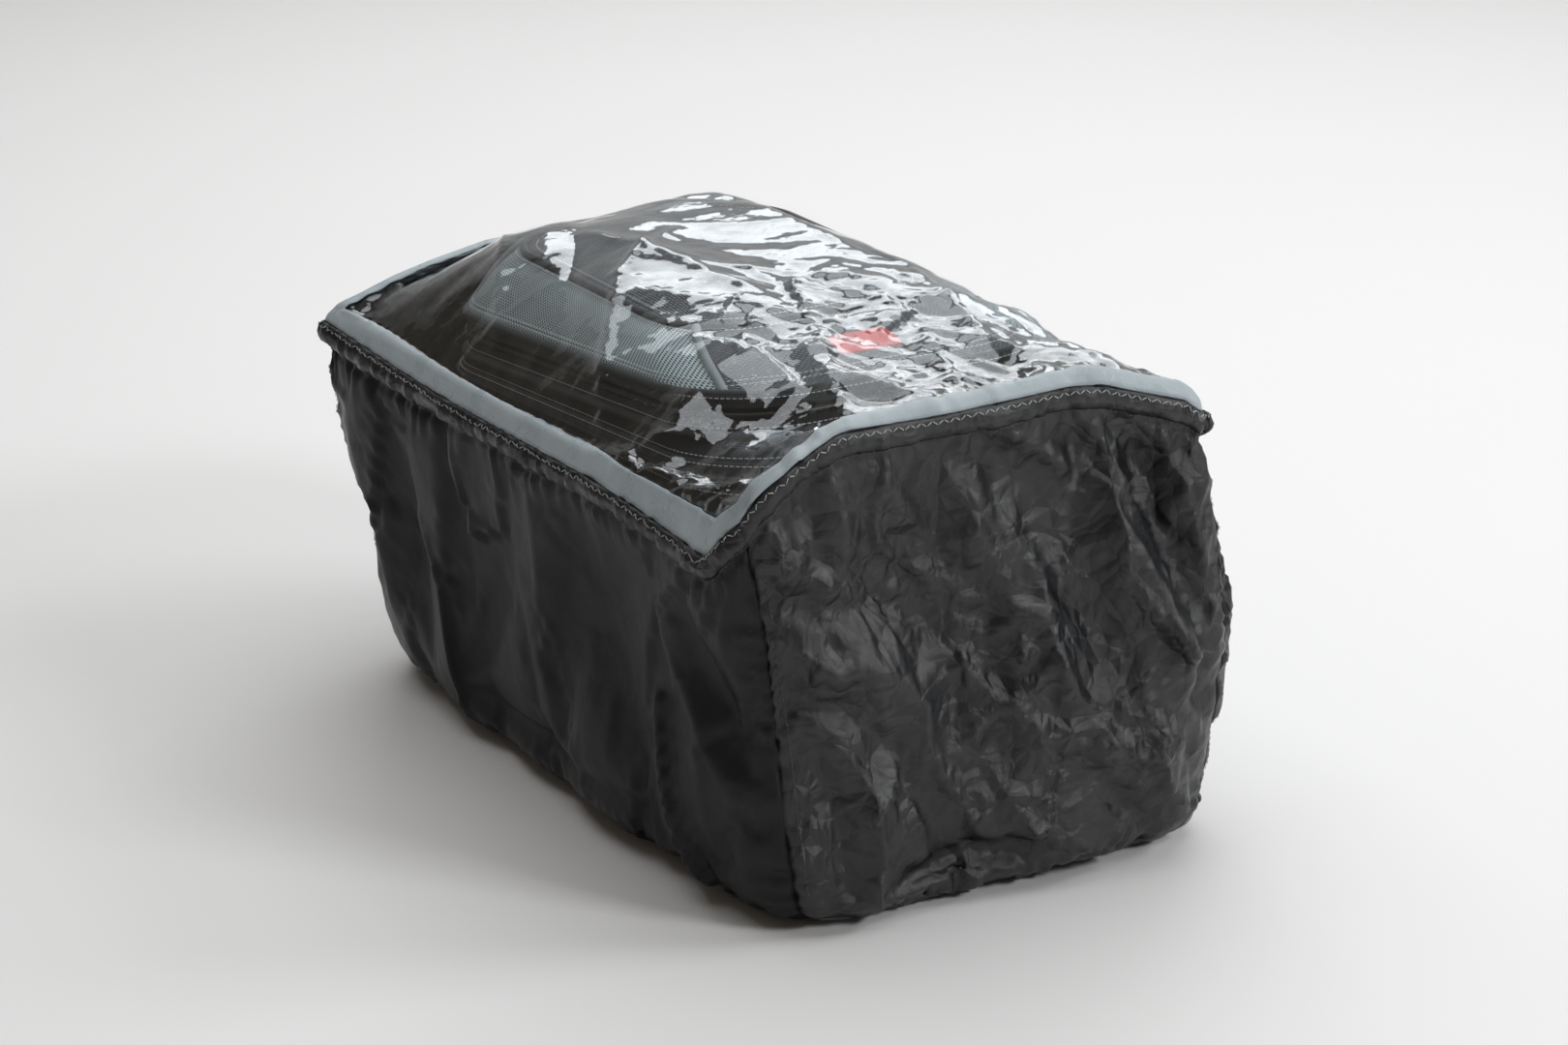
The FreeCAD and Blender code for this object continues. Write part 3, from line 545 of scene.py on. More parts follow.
def thicken(piece: bpy.types.Object, thick: float, offset: float = -1.0) -> bpy.types.Object:
    """Give a sheet its thickness.

    Args:
        piece: the sheet.
        thick: its thickness in metres.
        offset: -1 to grow inwards, 1 outwards.

    Returns:
        The same piece.
    """
    solid = piece.modifiers.new("thickness", "SOLIDIFY")
    solid.thickness = thick
    solid.offset = offset
    return piece


def grid_normals(grid: Array, around: bool = False) -> Array:
    """Unit normals of a grid of points: the cross product of its two directions of travel.

    Args:
        grid: rows by columns of points.
        around: whether the columns close on themselves.

    Returns:
        A normal for each point.
    """
    if around:
        along = np.roll(grid, -1, axis=1) - np.roll(grid, 1, axis=1)
    else:
        along = np.gradient(grid, axis=1)
    down = np.gradient(grid, axis=0)
    cross = np.cross(along, down)
    return cross / np.maximum(np.linalg.norm(cross, axis=-1, keepdims=True), 1e-12)


def travel(grid: Array) -> Array:
    """Surface coordinates in metres: the mean distance travelled along rows and down columns.

    Args:
        grid: rows by columns of points.

    Returns:
        Two coordinates for each point.
    """
    across = np.linalg.norm(np.diff(grid, axis=1), axis=-1).mean(axis=0)
    down = np.linalg.norm(np.diff(grid, axis=0), axis=-1).mean(axis=1)
    x = np.concatenate([[0.0], np.cumsum(across)])
    y = np.concatenate([[0.0], np.cumsum(down)])
    return np.stack(np.meshgrid(x, y), axis=-1)


def distances(line: Array) -> Array:
    """Distance travelled along a line to each of its points."""
    return np.concatenate([[0.0], np.cumsum(np.linalg.norm(np.diff(line, axis=0), axis=-1))])


def looped(line: Array) -> Array:
    """A closed line's points with the first again at the end."""
    return np.concatenate([line, line[:1]])


def points_at(place: Array, step: Array, line: Array) -> Array:
    """Points of a line, or of its normals, at distances travelled along it."""
    return np.stack([np.interp(place, step, line[:, axis]) for axis in range(3)], axis=-1)


def smooth_knots(where: Array, knots: Sequence[tuple[float, float]], soften: float) -> Array:
    """Straight lines between knots, rounded off by averaging over a window.

    Args:
        where: wanted places.
        knots: places and their values.
        soften: half the window's width.

    Returns:
        One value for each wanted place.
    """
    places, values = np.array(knots, float).T
    offsets = np.linspace(-soften, soften, 9)
    weight = 1.0 - np.abs(offsets) / (soften * 1.25)
    shifted = np.clip(where[..., None] + offsets, places[0], places[-1])
    rounded = (np.interp(shifted, places, values) * weight).sum(axis=-1) / weight.sum()
    edge = np.clip(np.minimum(where - places[0], places[-1] - where) / soften, 0.0, 1.0)
    return np.interp(where, places, values) * (1.0 - edge) + rounded * edge


def sample(grid: Array, row: Array, column: Array) -> Array:
    """Points of a grid at fractional rows and columns, mixed from the four round each.

    Args:
        grid: rows by columns of points.
        row: wanted rows.
        column: wanted columns.

    Returns:
        One point for each wanted place.
    """
    rows, columns = grid.shape[:2]
    row = np.clip(row, 0.0, rows - 1.000001)
    column = np.clip(column, 0.0, columns - 1.000001)
    top = row.astype(int)
    left = column.astype(int)
    down = (row - top)[..., None]
    right = (column - left)[..., None]
    upper = grid[top, left] * (1 - right) + grid[top, left + 1] * right
    lower = grid[top + 1, left] * (1 - right) + grid[top + 1, left + 1] * right
    return upper * (1 - down) + lower * down


def tube(name: str, path: Array, radius: float | Array, sides: int, closed: bool = False) -> bpy.types.Object:
    """A round tube along a path.

    Args:
        name: the piece's name.
        path: points along the middle.
        radius: one radius, or one for each point of the path.
        sides: points round the tube.
        closed: whether the path closes on itself.

    Returns:
        The piece, with capped ends if the path is open.
    """
    ahead = np.roll(path, -1, axis=0) - np.roll(path, 1, axis=0) if closed else np.gradient(path, axis=0)
    ahead = ahead / np.linalg.norm(ahead, axis=1, keepdims=True)
    side = np.cross(ahead, UPWARDS)
    side = side / np.linalg.norm(side, axis=1, keepdims=True)
    top = np.cross(side, ahead)
    turn = np.linspace(0, 2 * np.pi, sides, endpoint=False)
    reach = np.broadcast_to(np.asarray(radius, float), (len(path),))[:, None, None]
    ring = side[:, None] * np.cos(turn)[None, :, None] + top[:, None] * np.sin(turn)[None, :, None]
    grid = path[:, None] + ring * reach
    faces = with_caps(grid_faces(len(path), sides, True, closed), len(path), sides,
                      not closed, not closed, flipped=True)
    surface = np.stack(np.meshgrid(turn * float(np.mean(radius)), distances(path)), axis=-1)
    return make_mesh(name, grid, faces, surface)


def stitch_row(name: str, path: Array, outward: Array, pitch: float, length: float, width: float,
               slant: float = 0.0) -> bpy.types.Object:
    """A row of stitches along a path.

    Each stitch is a small pillow: a grid of 7 by 5 points whose height over the cloth is a half
    wave both ways; stitches stand a pitch apart, along the path.

    Args:
        name: the piece's name.
        path: points along the row.
        outward: unit normals of the cloth at those points.
        pitch: distance from stitch to stitch.
        length: length of one stitch.
        width: width of one stitch.
        slant: sideways shift over a stitch's length, which turns every second one the other way.

    Returns:
        All stitches as one piece.
    """
    step = distances(path)
    middles = np.arange(pitch, step[-1] - pitch, pitch)
    u, v = np.meshgrid(np.linspace(-0.5, 0.5, 7), np.linspace(-0.5, 0.5, 5), indexing="ij")
    place = middles[:, None, None] + u[None] * length
    centre = points_at(place, step, path)
    normal = points_at(place, step, outward)
    ahead = points_at(place + 1e-3, step, path) - centre
    ahead = ahead / np.maximum(np.linalg.norm(ahead, axis=-1, keepdims=True), 1e-9)
    side = np.cross(normal, ahead)
    flip = np.where(np.arange(len(middles)) % 2 == 0, 1.0, -1.0)[:, None, None]
    sideways = v[None] * width + u[None] * slant * flip
    rise = np.cos(u * np.pi) ** 0.5 * np.cos(v * np.pi) ** 0.5 * width * 0.55 - 0.0001
    points = centre + side * sideways[..., None] + normal * rise[None, ..., None]
    faces = (grid_faces(*u.shape)[None] + (np.arange(len(middles)) * u.size)[:, None, None]).reshape(-1, 4)
    uv = np.broadcast_to(np.stack([u * length, v * width], axis=-1), points.shape[:-1] + (2,))
    return make_mesh(name, points, faces, uv)


# ------------------------------------------------------------------ cloth

@dataclass(frozen=True)
class ClothRun:
    """How a sheet is left to buckle: it grows by a share while its edges are held."""

    growth: float
    frames: int
    bending: float
    stiffness: float
    gravity: float = 0.0
    quality: int = 6
    mass: float = 0.25
    pin: float = 5.0

    def settle(self, grid: Array, hold: Array, around: bool, most: float) -> Array:
        """Run Blender's cloth on a grid of points.

        Args:
            grid: rows by columns of points.
            hold: how firmly each point is held, from 0 to 1.
            around: whether the columns close on themselves.
            most: how far a point may move, in metres.

        Returns:
            The settled grid.
        """
        rows, columns = grid.shape[:2]
        piece = make_mesh("cloth_run", grid, grid_faces(rows, columns, around))
        group = piece.vertex_groups.new(name="held")
        flat = np.round(hold.ravel(), 2)
        for level in np.unique(flat[flat > 0]):
            group.add(np.flatnonzero(flat == level).tolist(), float(level), "REPLACE")
        settings = piece.modifiers.new("cloth", "CLOTH").settings
        settings.quality = self.quality
        settings.mass = self.mass
        settings.tension_stiffness = self.stiffness
        settings.compression_stiffness = self.stiffness
        settings.shear_stiffness = self.stiffness * 0.5
        settings.bending_stiffness = self.bending
        settings.shrink_min = -self.growth
        settings.vertex_group_mass = "held"
        settings.pin_stiffness = self.pin
        settings.effector_weights.gravity = self.gravity
        scene = bpy.context.scene
        for number in range(1, self.frames + 1):
            scene.frame_set(number)
        settled = piece.evaluated_get(bpy.context.evaluated_depsgraph_get()).to_mesh()
        points = np.empty(grid.size)
        settled.vertices.foreach_get("co", points)
        scene.frame_set(1)
        bpy.data.objects.remove(piece)
        moved = points.reshape(grid.shape) - grid
        length = np.linalg.norm(moved, axis=-1, keepdims=True)
        return grid + moved * (most * np.tanh(length / most) / np.maximum(length, 1e-9))


def hermite(first: Array, rise: Array, second: Array, fall: Array, part: Array) -> Array:
    """A cubic curve between two values with given slopes at both, at a part of the way."""
    return (first * (2 * part ** 3 - 3 * part ** 2 + 1) + rise * (part ** 3 - 2 * part ** 2 + part)
            + second * (3 * part ** 2 - 2 * part ** 3) + fall * (part ** 3 - part ** 2))


def cubic(where: Array, places: Array, values: Array) -> Array:
    """Cubic curves through knots, with the mean slope at each knot.

    Args:
        where: wanted places.
        places: the knots' places, in order.
        values: the knots' values, one row for each.

    Returns:
        One row of values for each wanted place.
    """
    slope = np.gradient(values, places, axis=0)
    index = np.clip(np.searchsorted(places, where) - 1, 0, len(places) - 2)
    gap = (places[index + 1] - places[index])[:, None]
    part = ((where - places[index]) / gap[:, 0])[:, None]
    return hermite(values[index], slope[index] * gap, values[index + 1], slope[index + 1] * gap, part)


def refine(grid: Array, times: int, around: bool = False) -> Array:
    """More points between those of a grid, on cubic curves through them along both ways.

    Args:
        grid: rows by columns of points.
        times: how many times more rows and columns are wanted.
        around: whether the columns close on themselves.

    Returns:
        The finer grid.
    """
    result = grid
    for axis in (0, 1):
        wraps = around and axis == 1
        padded = np.concatenate([result, np.take(result, [0], axis=axis)], axis=axis) if wraps else result
        if wraps:
            slope = (np.roll(result, -1, axis=axis) - np.roll(result, 1, axis=axis)) / 2
            slope = np.concatenate([slope, np.take(slope, [0], axis=axis)], axis=axis)
        else:
            slope = np.gradient(padded, axis=axis)
        size = padded.shape[axis]
        where = np.linspace(0, size - 1, (size - 1) * times + 1)
        if wraps:
            where = where[:-1]
        index = np.minimum(where.astype(int), size - 2)
        shape = [1] * padded.ndim
        shape[axis] = -1
        result = hermite(np.take(padded, index, axis=axis), np.take(slope, index, axis=axis),
                         np.take(padded, index + 1, axis=axis), np.take(slope, index + 1, axis=axis),
                         (where - index).reshape(shape))
    return result


@dataclass(frozen=True)
class Crease:
    """A ridge or, below zero height, a valley between two places of a flat sheet."""

    start: tuple[float, float]
    end: tuple[float, float]
    height: float
    width: float
    sharp: float = 1.0

    def rise(self, flat: Array) -> Array:
        """Height over a flat sheet: falls with distance to the line, tapers to both ends.

        Args:
            flat: places on the sheet.

        Returns:
            One height for each place.
        """
        first = np.array(self.start)
        run = np.array(self.end) - first
        along = ((flat - first) @ run) / (run @ run)
        nearest = first + np.clip(along, 0, 1)[..., None] * run
        distance = np.linalg.norm(flat - nearest, axis=-1) / self.width
        keen = np.exp(-distance * 1.3)
        round_top = np.exp(-distance ** 2)
        taper = np.sin(np.clip(along * 0.8 + 0.1, 0.0, 1.0) * np.pi) ** 0.6
        return self.height * taper * (keen * self.sharp + round_top * (1 - self.sharp))


def ripples(flat: Array, seed: int, count: int, shortest: float, longest: float) -> Array:
    """Sum of plane waves of random way and phase; longer waves are higher.

    Args:
        flat: places on the flat sheet.
        seed: choice of random numbers.
        count: how many waves.
        shortest: shortest wave, in metres.
        longest: longest wave, in metres.

    Returns:
        Heights of about -1 to 1.
    """
    random = np.random.default_rng(seed)
    total = np.zeros(flat.shape[:-1])
    for _ in range(count):
        length = random.uniform(shortest, longest)
        way = random.uniform(0, 2 * np.pi)
        phase = random.uniform(0, 2 * np.pi)
        wave = (flat[..., 0] * math.cos(way) + flat[..., 1] * math.sin(way)) * 2 * np.pi / length
        total += np.sin(wave + phase) * (length / longest)
    return total / math.sqrt(count)


def facets(flat: Array, seed: int, spacing: float, stretch: float, way: float, bend: float = 0.5) -> Array:
    """Flat-sided folds of a crumpled sheet.

    Places scattered over the sheet each own the points nearest to them. The height grows evenly
    with the distance from the border between two owners, so every fold has plane sides, a keen
    ridge and a keen foot. The sheet is stretched along one way and bent by slow ripples first.

    Args:
        flat: places on the flat sheet.
        seed: choice of random numbers.
        spacing: mean distance between owners, in metres.
        stretch: how many times longer than wide the folds are.
        way: direction along the folds, in radians.
        bend: how far the ripples shift a place, as a share of the spacing.

    Returns:
        Heights of about -0.5 to 0.5.
    """
    random = np.random.default_rng(seed)
    shift = [ripples(flat, seed + extra, 12, spacing * 1.6, spacing * 5) * spacing * bend
             for extra in (1, 2)]
    x, y = flat[..., 0] + shift[0], flat[..., 1] + shift[1]
    place = np.stack([(x * math.cos(way) + y * math.sin(way)) / stretch,
                      y * math.cos(way) - x * math.sin(way)], axis=-1) / spacing
    repeat, reach = 61, 2
    owners = random.uniform(0.05, 0.95, (repeat, repeat, 2))
    cell = np.floor(place).astype(int)
    near = np.full(place.shape[:-1], np.inf)
    next_near = near.copy()
    near_owner = np.zeros(place.shape)
    next_owner = np.zeros(place.shape)
    for step in np.ndindex(2 * reach + 1, 2 * reach + 1):
        here = cell + np.array(step) - reach
        owner = here + owners[here[..., 0] % repeat, here[..., 1] % repeat]
        distance = np.linalg.norm(place - owner, axis=-1)
        closer = distance < near
        second = ~closer & (distance < next_near)
        passed_on = np.where(second[..., None], owner, next_owner)
        next_owner = np.where(closer[..., None], near_owner, passed_on)
        next_near = np.where(closer, near, np.where(second, distance, next_near))
        near_owner = np.where(closer[..., None], owner, near_owner)
        near = np.where(closer, distance, near)
    between = np.maximum(np.linalg.norm(next_owner - near_owner, axis=-1), 1e-6)
    return np.clip((next_near ** 2 - near ** 2) / between, 0.0, 1.2) - 0.4


# ------------------------------------------------------------------ the cover's form

@dataclass(frozen=True)
class Perimeter:
    """Columns round a rounded rectangle, counted from the middle of the rear left corner.

    Each column lies between two corners' arcs: its place is the mean of the two arc points, by
    weight, so loops of any size and corner radius match column for column.
    """

    arc: int = 6
    long: int = 78
    short: int = 42

    def counts(self) -> list[int]:
        """Columns of the left, front, right and rear sides."""
        return [2 * self.arc + run for run in (self.long, self.short, self.long, self.short)]

    def columns(self) -> tuple[Array, Array, Array, Array]:
        """Side number, weight of the second corner, direction outwards and share of the side."""
        sides, weights, ways, shares = [], [], [], []
        for side, run in enumerate((self.long, self.short, self.long, self.short)):
            outward = math.pi * (1.5 + side / 2)
            turn = np.concatenate([
                np.linspace(outward - math.pi / 4, outward, self.arc, endpoint=False),
                np.full(run + 1, outward),
                np.linspace(outward, outward + math.pi / 4, self.arc + 1)[1:-1]])
            weight = np.concatenate([np.zeros(self.arc), np.linspace(0, 1, run + 1),
                                     np.ones(self.arc - 1)])
            sides.append(np.full(len(turn), side))
            weights.append(weight)
            ways.append(np.stack([np.cos(turn), np.sin(turn)], axis=-1))
            shares.append(np.arange(len(turn)) / len(turn))
        return (np.concatenate(sides), np.concatenate(weights), np.concatenate(ways),
                np.concatenate(shares))

    def place(self, half_x: Array, half_y: Array, radii: Array) -> Array:
        """Plan places round the origin.

        Args:
            half_x: half the length, for each point.
            half_y: half the width, for each point.
            radii: the four corner radii, in the last axis, for each point.

        Returns:
            x and y of each point.
        """
        side, weight, way, _ = self.columns()
        signs = np.array([(-1, -1), (1, -1), (1, 1), (-1, 1)], float)
        total = np.zeros(np.broadcast(half_x, weight).shape + (2,))
        half = np.stack(np.broadcast_arrays(half_x, half_y), axis=-1)
        for corner, share in ((side, 1 - weight), ((side + 1) % 4, weight)):
            radius = np.take_along_axis(np.broadcast_to(radii, total.shape[:-1] + (4,)),
                                        np.broadcast_to(corner[:, None], total.shape[:-1] + (1,)), axis=-1)
            total += share[:, None] * (signs[corner] * (half - radius) + radius * way)
        return total


def unrolled(grid: Array, side: Array) -> Array:
    """Places on flat cloth: distance along the side (x or y, by its number) and height."""
    return np.stack([np.where(side % 2 == 0, grid[..., 0], grid[..., 1]), grid[..., 2]], axis=-1)


@dataclass(frozen=True)
class Bulge:
    """A soft swelling of one side of the skirt."""

    side: int
    along: float
    height: float
    out: float
    spread_along: float
    spread_up: float

    def rise(self, side: Array, share: Array, z: Array) -> Array:
        """Distance outwards: a bell both along the side and up it, round the corners too.

        Args:
            side: side number of each column.
            share: how far along its side each column is.
            z: height of each point.

        Returns:
            One distance for each point.
        """
        gap = np.abs((side + share) - (self.side + self.along))
        gap = np.minimum(gap, 4 - gap)
        return self.out * np.exp(-(gap / self.spread_along) ** 2 - ((z - self.height) / self.spread_up) ** 2)


@dataclass
class CoverForm:
    """Sizes that the film and the skirt share."""

    length: float = 0.460
    width: float = 0.264
    fold: float = 0.022
    hem_inset: float = 0.018
    middle: tuple[float, float] = (0.00115, 0.00115)
    lean: tuple[float, float] = (0.008, 0.021)
    lean_height: float = 0.220
    foot_radii: tuple[float, ...] = (0.060, 0.052, 0.045, 0.050)
    rim_radii: tuple[float, ...] = (0.010, 0.034, 0.012, 0.012)
    perimeter: Perimeter = field(default_factory=Perimeter)
    rim_knots: tuple[tuple[float, float], ...] = (
        (0.00, 0.1990), (0.05, 0.2000), (0.13, 0.1970), (0.22, 0.1950), (0.36, 0.1940), (0.50, 0.1955),
        (0.62, 0.1970), (0.71, 0.1980), (0.80, 0.1960), (0.87, 0.1945), (0.94, 0.1940), (0.98, 0.2110),
        (1.04, 0.2320), (1.11, 0.2455), (1.19, 0.2560), (1.40, 0.2550), (1.55, 0.2560), (1.66, 0.2570),
        (1.72, 0.2550), (1.78, 0.2495), (1.85, 0.2430), (1.93, 0.2350), (2.00, 0.2310), (2.06, 0.2300),
        (2.30, 0.2215), (2.55, 0.2140), (2.80, 0.2100), (3.00, 0.2110), (3.15, 0.2190), (3.40, 0.2270),
        (3.60, 0.2270), (3.80, 0.2150), (3.93, 0.2030), (4.00, 0.1990))
    roof_x: tuple[float, ...] = (-0.240, -0.165, -0.050, 0.060, 0.130, 0.240)
    roof_y: tuple[float, ...] = (-0.160, -0.092, 0.0, 0.092, 0.150)
    roof_z: tuple[tuple[float, ...], ...] = (
        (0.188, 0.216, 0.228, 0.226, 0.208), (0.184, 0.250, 0.268, 0.264, 0.212),
        (0.179, 0.262, 0.277, 0.276, 0.223), (0.182, 0.262, 0.278, 0.278, 0.233),
        (0.184, 0.252, 0.271, 0.271, 0.243), (0.206, 0.250, 0.258, 0.256, 0.229))
    tips: tuple[tuple[int, float, float], ...] = (
        (0, -0.0055, -0.0035), (1, 0.0, -0.006), (2, 0.004, 0.003), (3, -0.003, 0.002))
    bulges: tuple[Bulge, ...] = (
        Bulge(0, 0.50, 0.045, 0.0115, 0.62, 0.045), Bulge(0, 0.30, 0.120, -0.0030, 0.35, 0.050),
        Bulge(3, 0.85, 0.140, 0.0120, 0.45, 0.070), Bulge(2, 0.30, 0.110, 0.0090, 0.60, 0.080),
        Bulge(1, 0.50, 0.060, 0.0050, 0.35, 0.050), Bulge(1, 0.90, 0.120, 0.0080, 0.35, 0.090))

    def centre(self, height: Array) -> Array:
        """The middle of the leaning box at a height."""
        share = 0.5 - height / self.lean_height
        return np.stack([middle + lean * share for middle, lean in zip(self.middle, self.lean)], axis=-1)

    def rim_height(self) -> Array:
        """Height of the rim for each column."""
        side, _, _, share = self.perimeter.columns()
        return smooth_knots(side + share, self.rim_knots, 0.02)

    def skirt(self, rows: int = 44, fold_rows: int = 9) -> Array:
        """The skirt from its hem, round the bottom fold, up to the rim.

        Below the fold's top the place follows a quarter circle: inset r(1 - sin a) and height
        r(1 - cos a). Above it the height runs evenly to the rim. Swellings move it outwards.

        Args:
            rows: rows from the hem to the rim.
            fold_rows: how many of them go round the fold.

        Returns:
            Rows by columns of points.
        """
        side, _, way, share = self.perimeter.columns()
        rim = self.rim_height()
        start = math.asin((self.fold - self.hem_inset) / self.fold)
        angle = np.concatenate([np.linspace(start, math.pi / 2, fold_rows, endpoint=False),
                                np.full(rows - fold_rows, math.pi / 2)])[:, None]
        climb = np.concatenate([np.zeros(fold_rows), np.linspace(0, 1, rows - fold_rows)])[:, None]
        height = self.fold * (1 - np.cos(angle)) + climb * (rim - self.fold) + 0.0006
        inset = self.fold * (1 - np.sin(angle)) + 0 * height
        blend = np.clip(height / 0.2, 0, 1)
        blend = (blend * blend * (3 - 2 * blend))[..., None]
        radii = np.array(self.foot_radii) * (1 - blend) + np.array(self.rim_radii) * blend
        radii = np.maximum(radii - inset[..., None], 0.004)
        plan = self.perimeter.place(self.length / 2 - inset, self.width / 2 - inset, radii)
        plan = plan + self.centre(height)
        swell = sum(bulge.rise(side, share, height) for bulge in self.bulges)
        swell = swell * np.clip((rim - height) / 0.035, 0, 1) * np.clip(height / 0.012, 0, 1)
        plan = plan + way * swell[..., None]
        for corner, push_x, push_y in self.tips:
            gap = np.abs(side + share - corner)
            gap = np.minimum(gap, 4 - gap)
            near = np.exp(-(gap / 0.10) ** 2) * np.clip(1 - (rim - height) / 0.07, 0, 1) ** 2
            plan = plan + near[..., None] * np.array([push_x, push_y])
        return np.concatenate([plan, height[..., None]], axis=-1)

    def roof_height(self, plan: Array) -> Array:
        """Height of the dome: cubic curves through the cross sections, then between them.

        Args:
            plan: x and y of the wanted places.

        Returns:
            One height for each place.
        """
        fine_x = np.linspace(self.roof_x[0], self.roof_x[-1], 121)
        fine_y = np.linspace(self.roof_y[0], self.roof_y[-1], 81)
        table = np.array(self.roof_z)
        lengthwise = cubic(fine_x, np.array(self.roof_x), table)
        both = cubic(fine_y, np.array(self.roof_y), lengthwise.T).T
        row = (plan[..., 0] - fine_x[0]) / (fine_x[1] - fine_x[0])
        column = (plan[..., 1] - fine_y[0]) / (fine_y[1] - fine_y[0])
        return sample(both[..., None], row, column)[..., 0]


# ------------------------------------------------------------------ skirt

COVER = "rain_cover"
REFINED = 2


@dataclass
class Skirt:
    """The four coated nylon sides, shaped with the roll and puckers under their top hem."""

    form: CoverForm
    wardrobe: Wardrobe
    cloth: ClothRun = ClothRun(0.026, 20, 0.6, 20.0)
    most: float = 0.0075
    thick: float = 0.0008
    lowest: float = 0.0012
    names: tuple[str, ...] = ("skirt_left", "skirt_front", "skirt_right", "skirt_rear")
    creases: tuple[tuple[int, Crease], ...] = (
        (0, Crease((-0.170, 0.185), (-0.120, 0.050), -0.004, 0.014, 0.3)),
        (0, Crease((-0.205, 0.150), (-0.150, 0.030), 0.005, 0.016, 0.4)),
        (0, Crease((-0.040, 0.172), (0.022, 0.060), 0.004, 0.018, 0.3)),
        (0, Crease((0.026, 0.171), (0.140, 0.030), -0.005, 0.020, 0.3)),
        (0, Crease((0.108, 0.176), (0.200, 0.070), 0.006, 0.014, 0.5)),
        (0, Crease((-0.090, 0.030), (0.120, 0.034), -0.006, 0.008, 0.6)),
        (0, Crease((0.160, 0.165), (0.226, 0.060), -0.005, 0.014, 0.4)),
        (1, Crease((-0.028, 0.225), (0.058, 0.074), 0.010, 0.013, 0.85)),
        (1, Crease((0.000, 0.235), (0.075, 0.090), -0.007, 0.014, 0.5)),
        (1, Crease((0.062, 0.206), (0.111, 0.094), 0.009, 0.010, 0.85)),
        (1, Crease((0.076, 0.234), (0.128, 0.069), -0.007, 0.012, 0.6)),
        (1, Crease((0.100, 0.225), (0.132, 0.100), 0.007, 0.010, 0.7)),
        (1, Crease((-0.030, 0.135), (0.032, 0.076), 0.007, 0.009, 0.9)),
        (1, Crease((0.034, 0.126), (-0.022, 0.086), 0.006, 0.009, 0.9)),
        (1, Crease((-0.004, 0.150), (0.002, 0.070), -0.006, 0.012, 0.4)),
        (1, Crease((0.050, 0.070), (0.100, 0.058), 0.006, 0.007, 0.9)),
        (1, Crease((-0.092, 0.240), (-0.070, 0.110), 0.006, 0.016, 0.5)),
        (1, Crease((-0.060, 0.205), (-0.020, 0.040), -0.006, 0.018, 0.4)),
        (1, Crease((-0.118, 0.200), (-0.080, 0.040), 0.004, 0.014, 0.4)),
        (1, Crease((-0.050, 0.024), (0.030, 0.030), -0.006, 0.008, 0.7)),
        (1, Crease((-0.010, 0.050), (0.060, 0.014), 0.005, 0.008, 0.8)),
    )

    def flat(self, grid: Array) -> Array:
        """Place on each side's flat cloth: distance from its middle, and height."""
        return unrolled(grid, self.form.perimeter.columns()[0])

    def build(self) -> Array:
        """Make the four sides.

        Returns:
            The settled, refined ring of points, whose last row is the rim.
        """
        grid = self.form.skirt()
        side, _, _, share = self.form.perimeter.columns()
        flat = self.flat(grid)
        rim = self.form.rim_height()
        height = grid[..., 2]
        free = np.clip((rim - height) / 0.030, 0, 1) * np.clip(height / 0.020, 0, 1)
        rise = np.zeros(height.shape)
        for number, crease in self.creases:
            rise += np.where(side == number, crease.rise(flat), 0.0)
        seam = np.minimum(share, 1 - share)
        wavy = ripples(flat + side[:, None] * 3.1, 7, 26, 0.035, 0.130)
        rise += wavy * np.where(side == 0, 0.0008, 0.0016)
        place = flat + side[:, None] * 3.1
        calm = side % 2 == 0
        upright = facets(place, 51, 0.072, 3.6, 1.75, 0.35)
        slanting = facets(place, 71, 0.050, 3.0, 2.12, 0.35)
        rise += upright * np.where(calm, 0.0065, 0.0030) + (slanting - 0.4) * np.where(calm, 0.0, 0.0095)
        rise *= np.clip(seam / 0.06, 0, 1)
        normal = grid_normals(grid, True)
        grid = grid + normal * (rise * free)[..., None]
        hold = np.zeros(height.shape)
        hold[:2] = 1.0
        hold[-2:] = 1.0
        hold = np.maximum(hold, np.clip(1 - seam / 0.012, 0, 1) * 0.9)
        grid = self.cloth.settle(grid, hold, True, self.most)
        return self.finish_panels(grid)

    def finish_panels(self, grid: Array) -> Array:
        """Refine the ring, crumple it, pucker its seams, and cut it into the four sides.

        Args:
            grid: the settled ring of points.

        Returns:
            The finer ring, whose last row is the rim.
        """
        fine = refine(grid, REFINED, True)
        side, _, _, share = self.form.perimeter.columns()
        fine_side = np.repeat(side, REFINED)
        flat = unrolled(fine, fine_side) + fine_side[:, None] * 2.3
        calm = fine_side % 2 == 0
        patch = np.clip(ripples(flat, 17, 12, 0.06, 0.16) * 0.9 + 0.6, 0.1, 1.3)
        medium = (facets(flat, 91, 0.024, 2.2, 2.2) - 0.15) * patch * np.where(calm, 0.0005, 0.0046)
        small = facets(flat, 131, 0.011, 1.5, 1.0) * patch ** 2 * np.where(calm, 0.00010, 0.0014)
        place = np.interp(np.arange(fine.shape[1]) / REFINED, np.arange(len(side) + 1),
                          np.concatenate([side + share, [4.0]]))
        seam = np.abs(place - np.round(place))
        keep = np.clip((fine[-1:, :, 2] - fine[..., 2]) / 0.03, 0, 1) * np.clip(fine[..., 2] / 0.02, 0, 1)
        keep = keep * np.clip(seam / 0.06, 0, 1)
        fine = fine + grid_normals(fine, True) * ((medium + small) * keep)[..., None]
        fine[..., 2] = np.maximum(fine[..., 2], self.lowest)
        rim = fine[-1, :, 2]
        fall = rim - fine[..., 2]
        around = distances(fine[-1])
        phase = around / 0.0115 + 1.7 * np.sin(around / 0.043) + 0.9 * np.sin(around / 0.017)
        gather = np.where(np.floor(place) % 2 == 0, 1.0, 0.62)
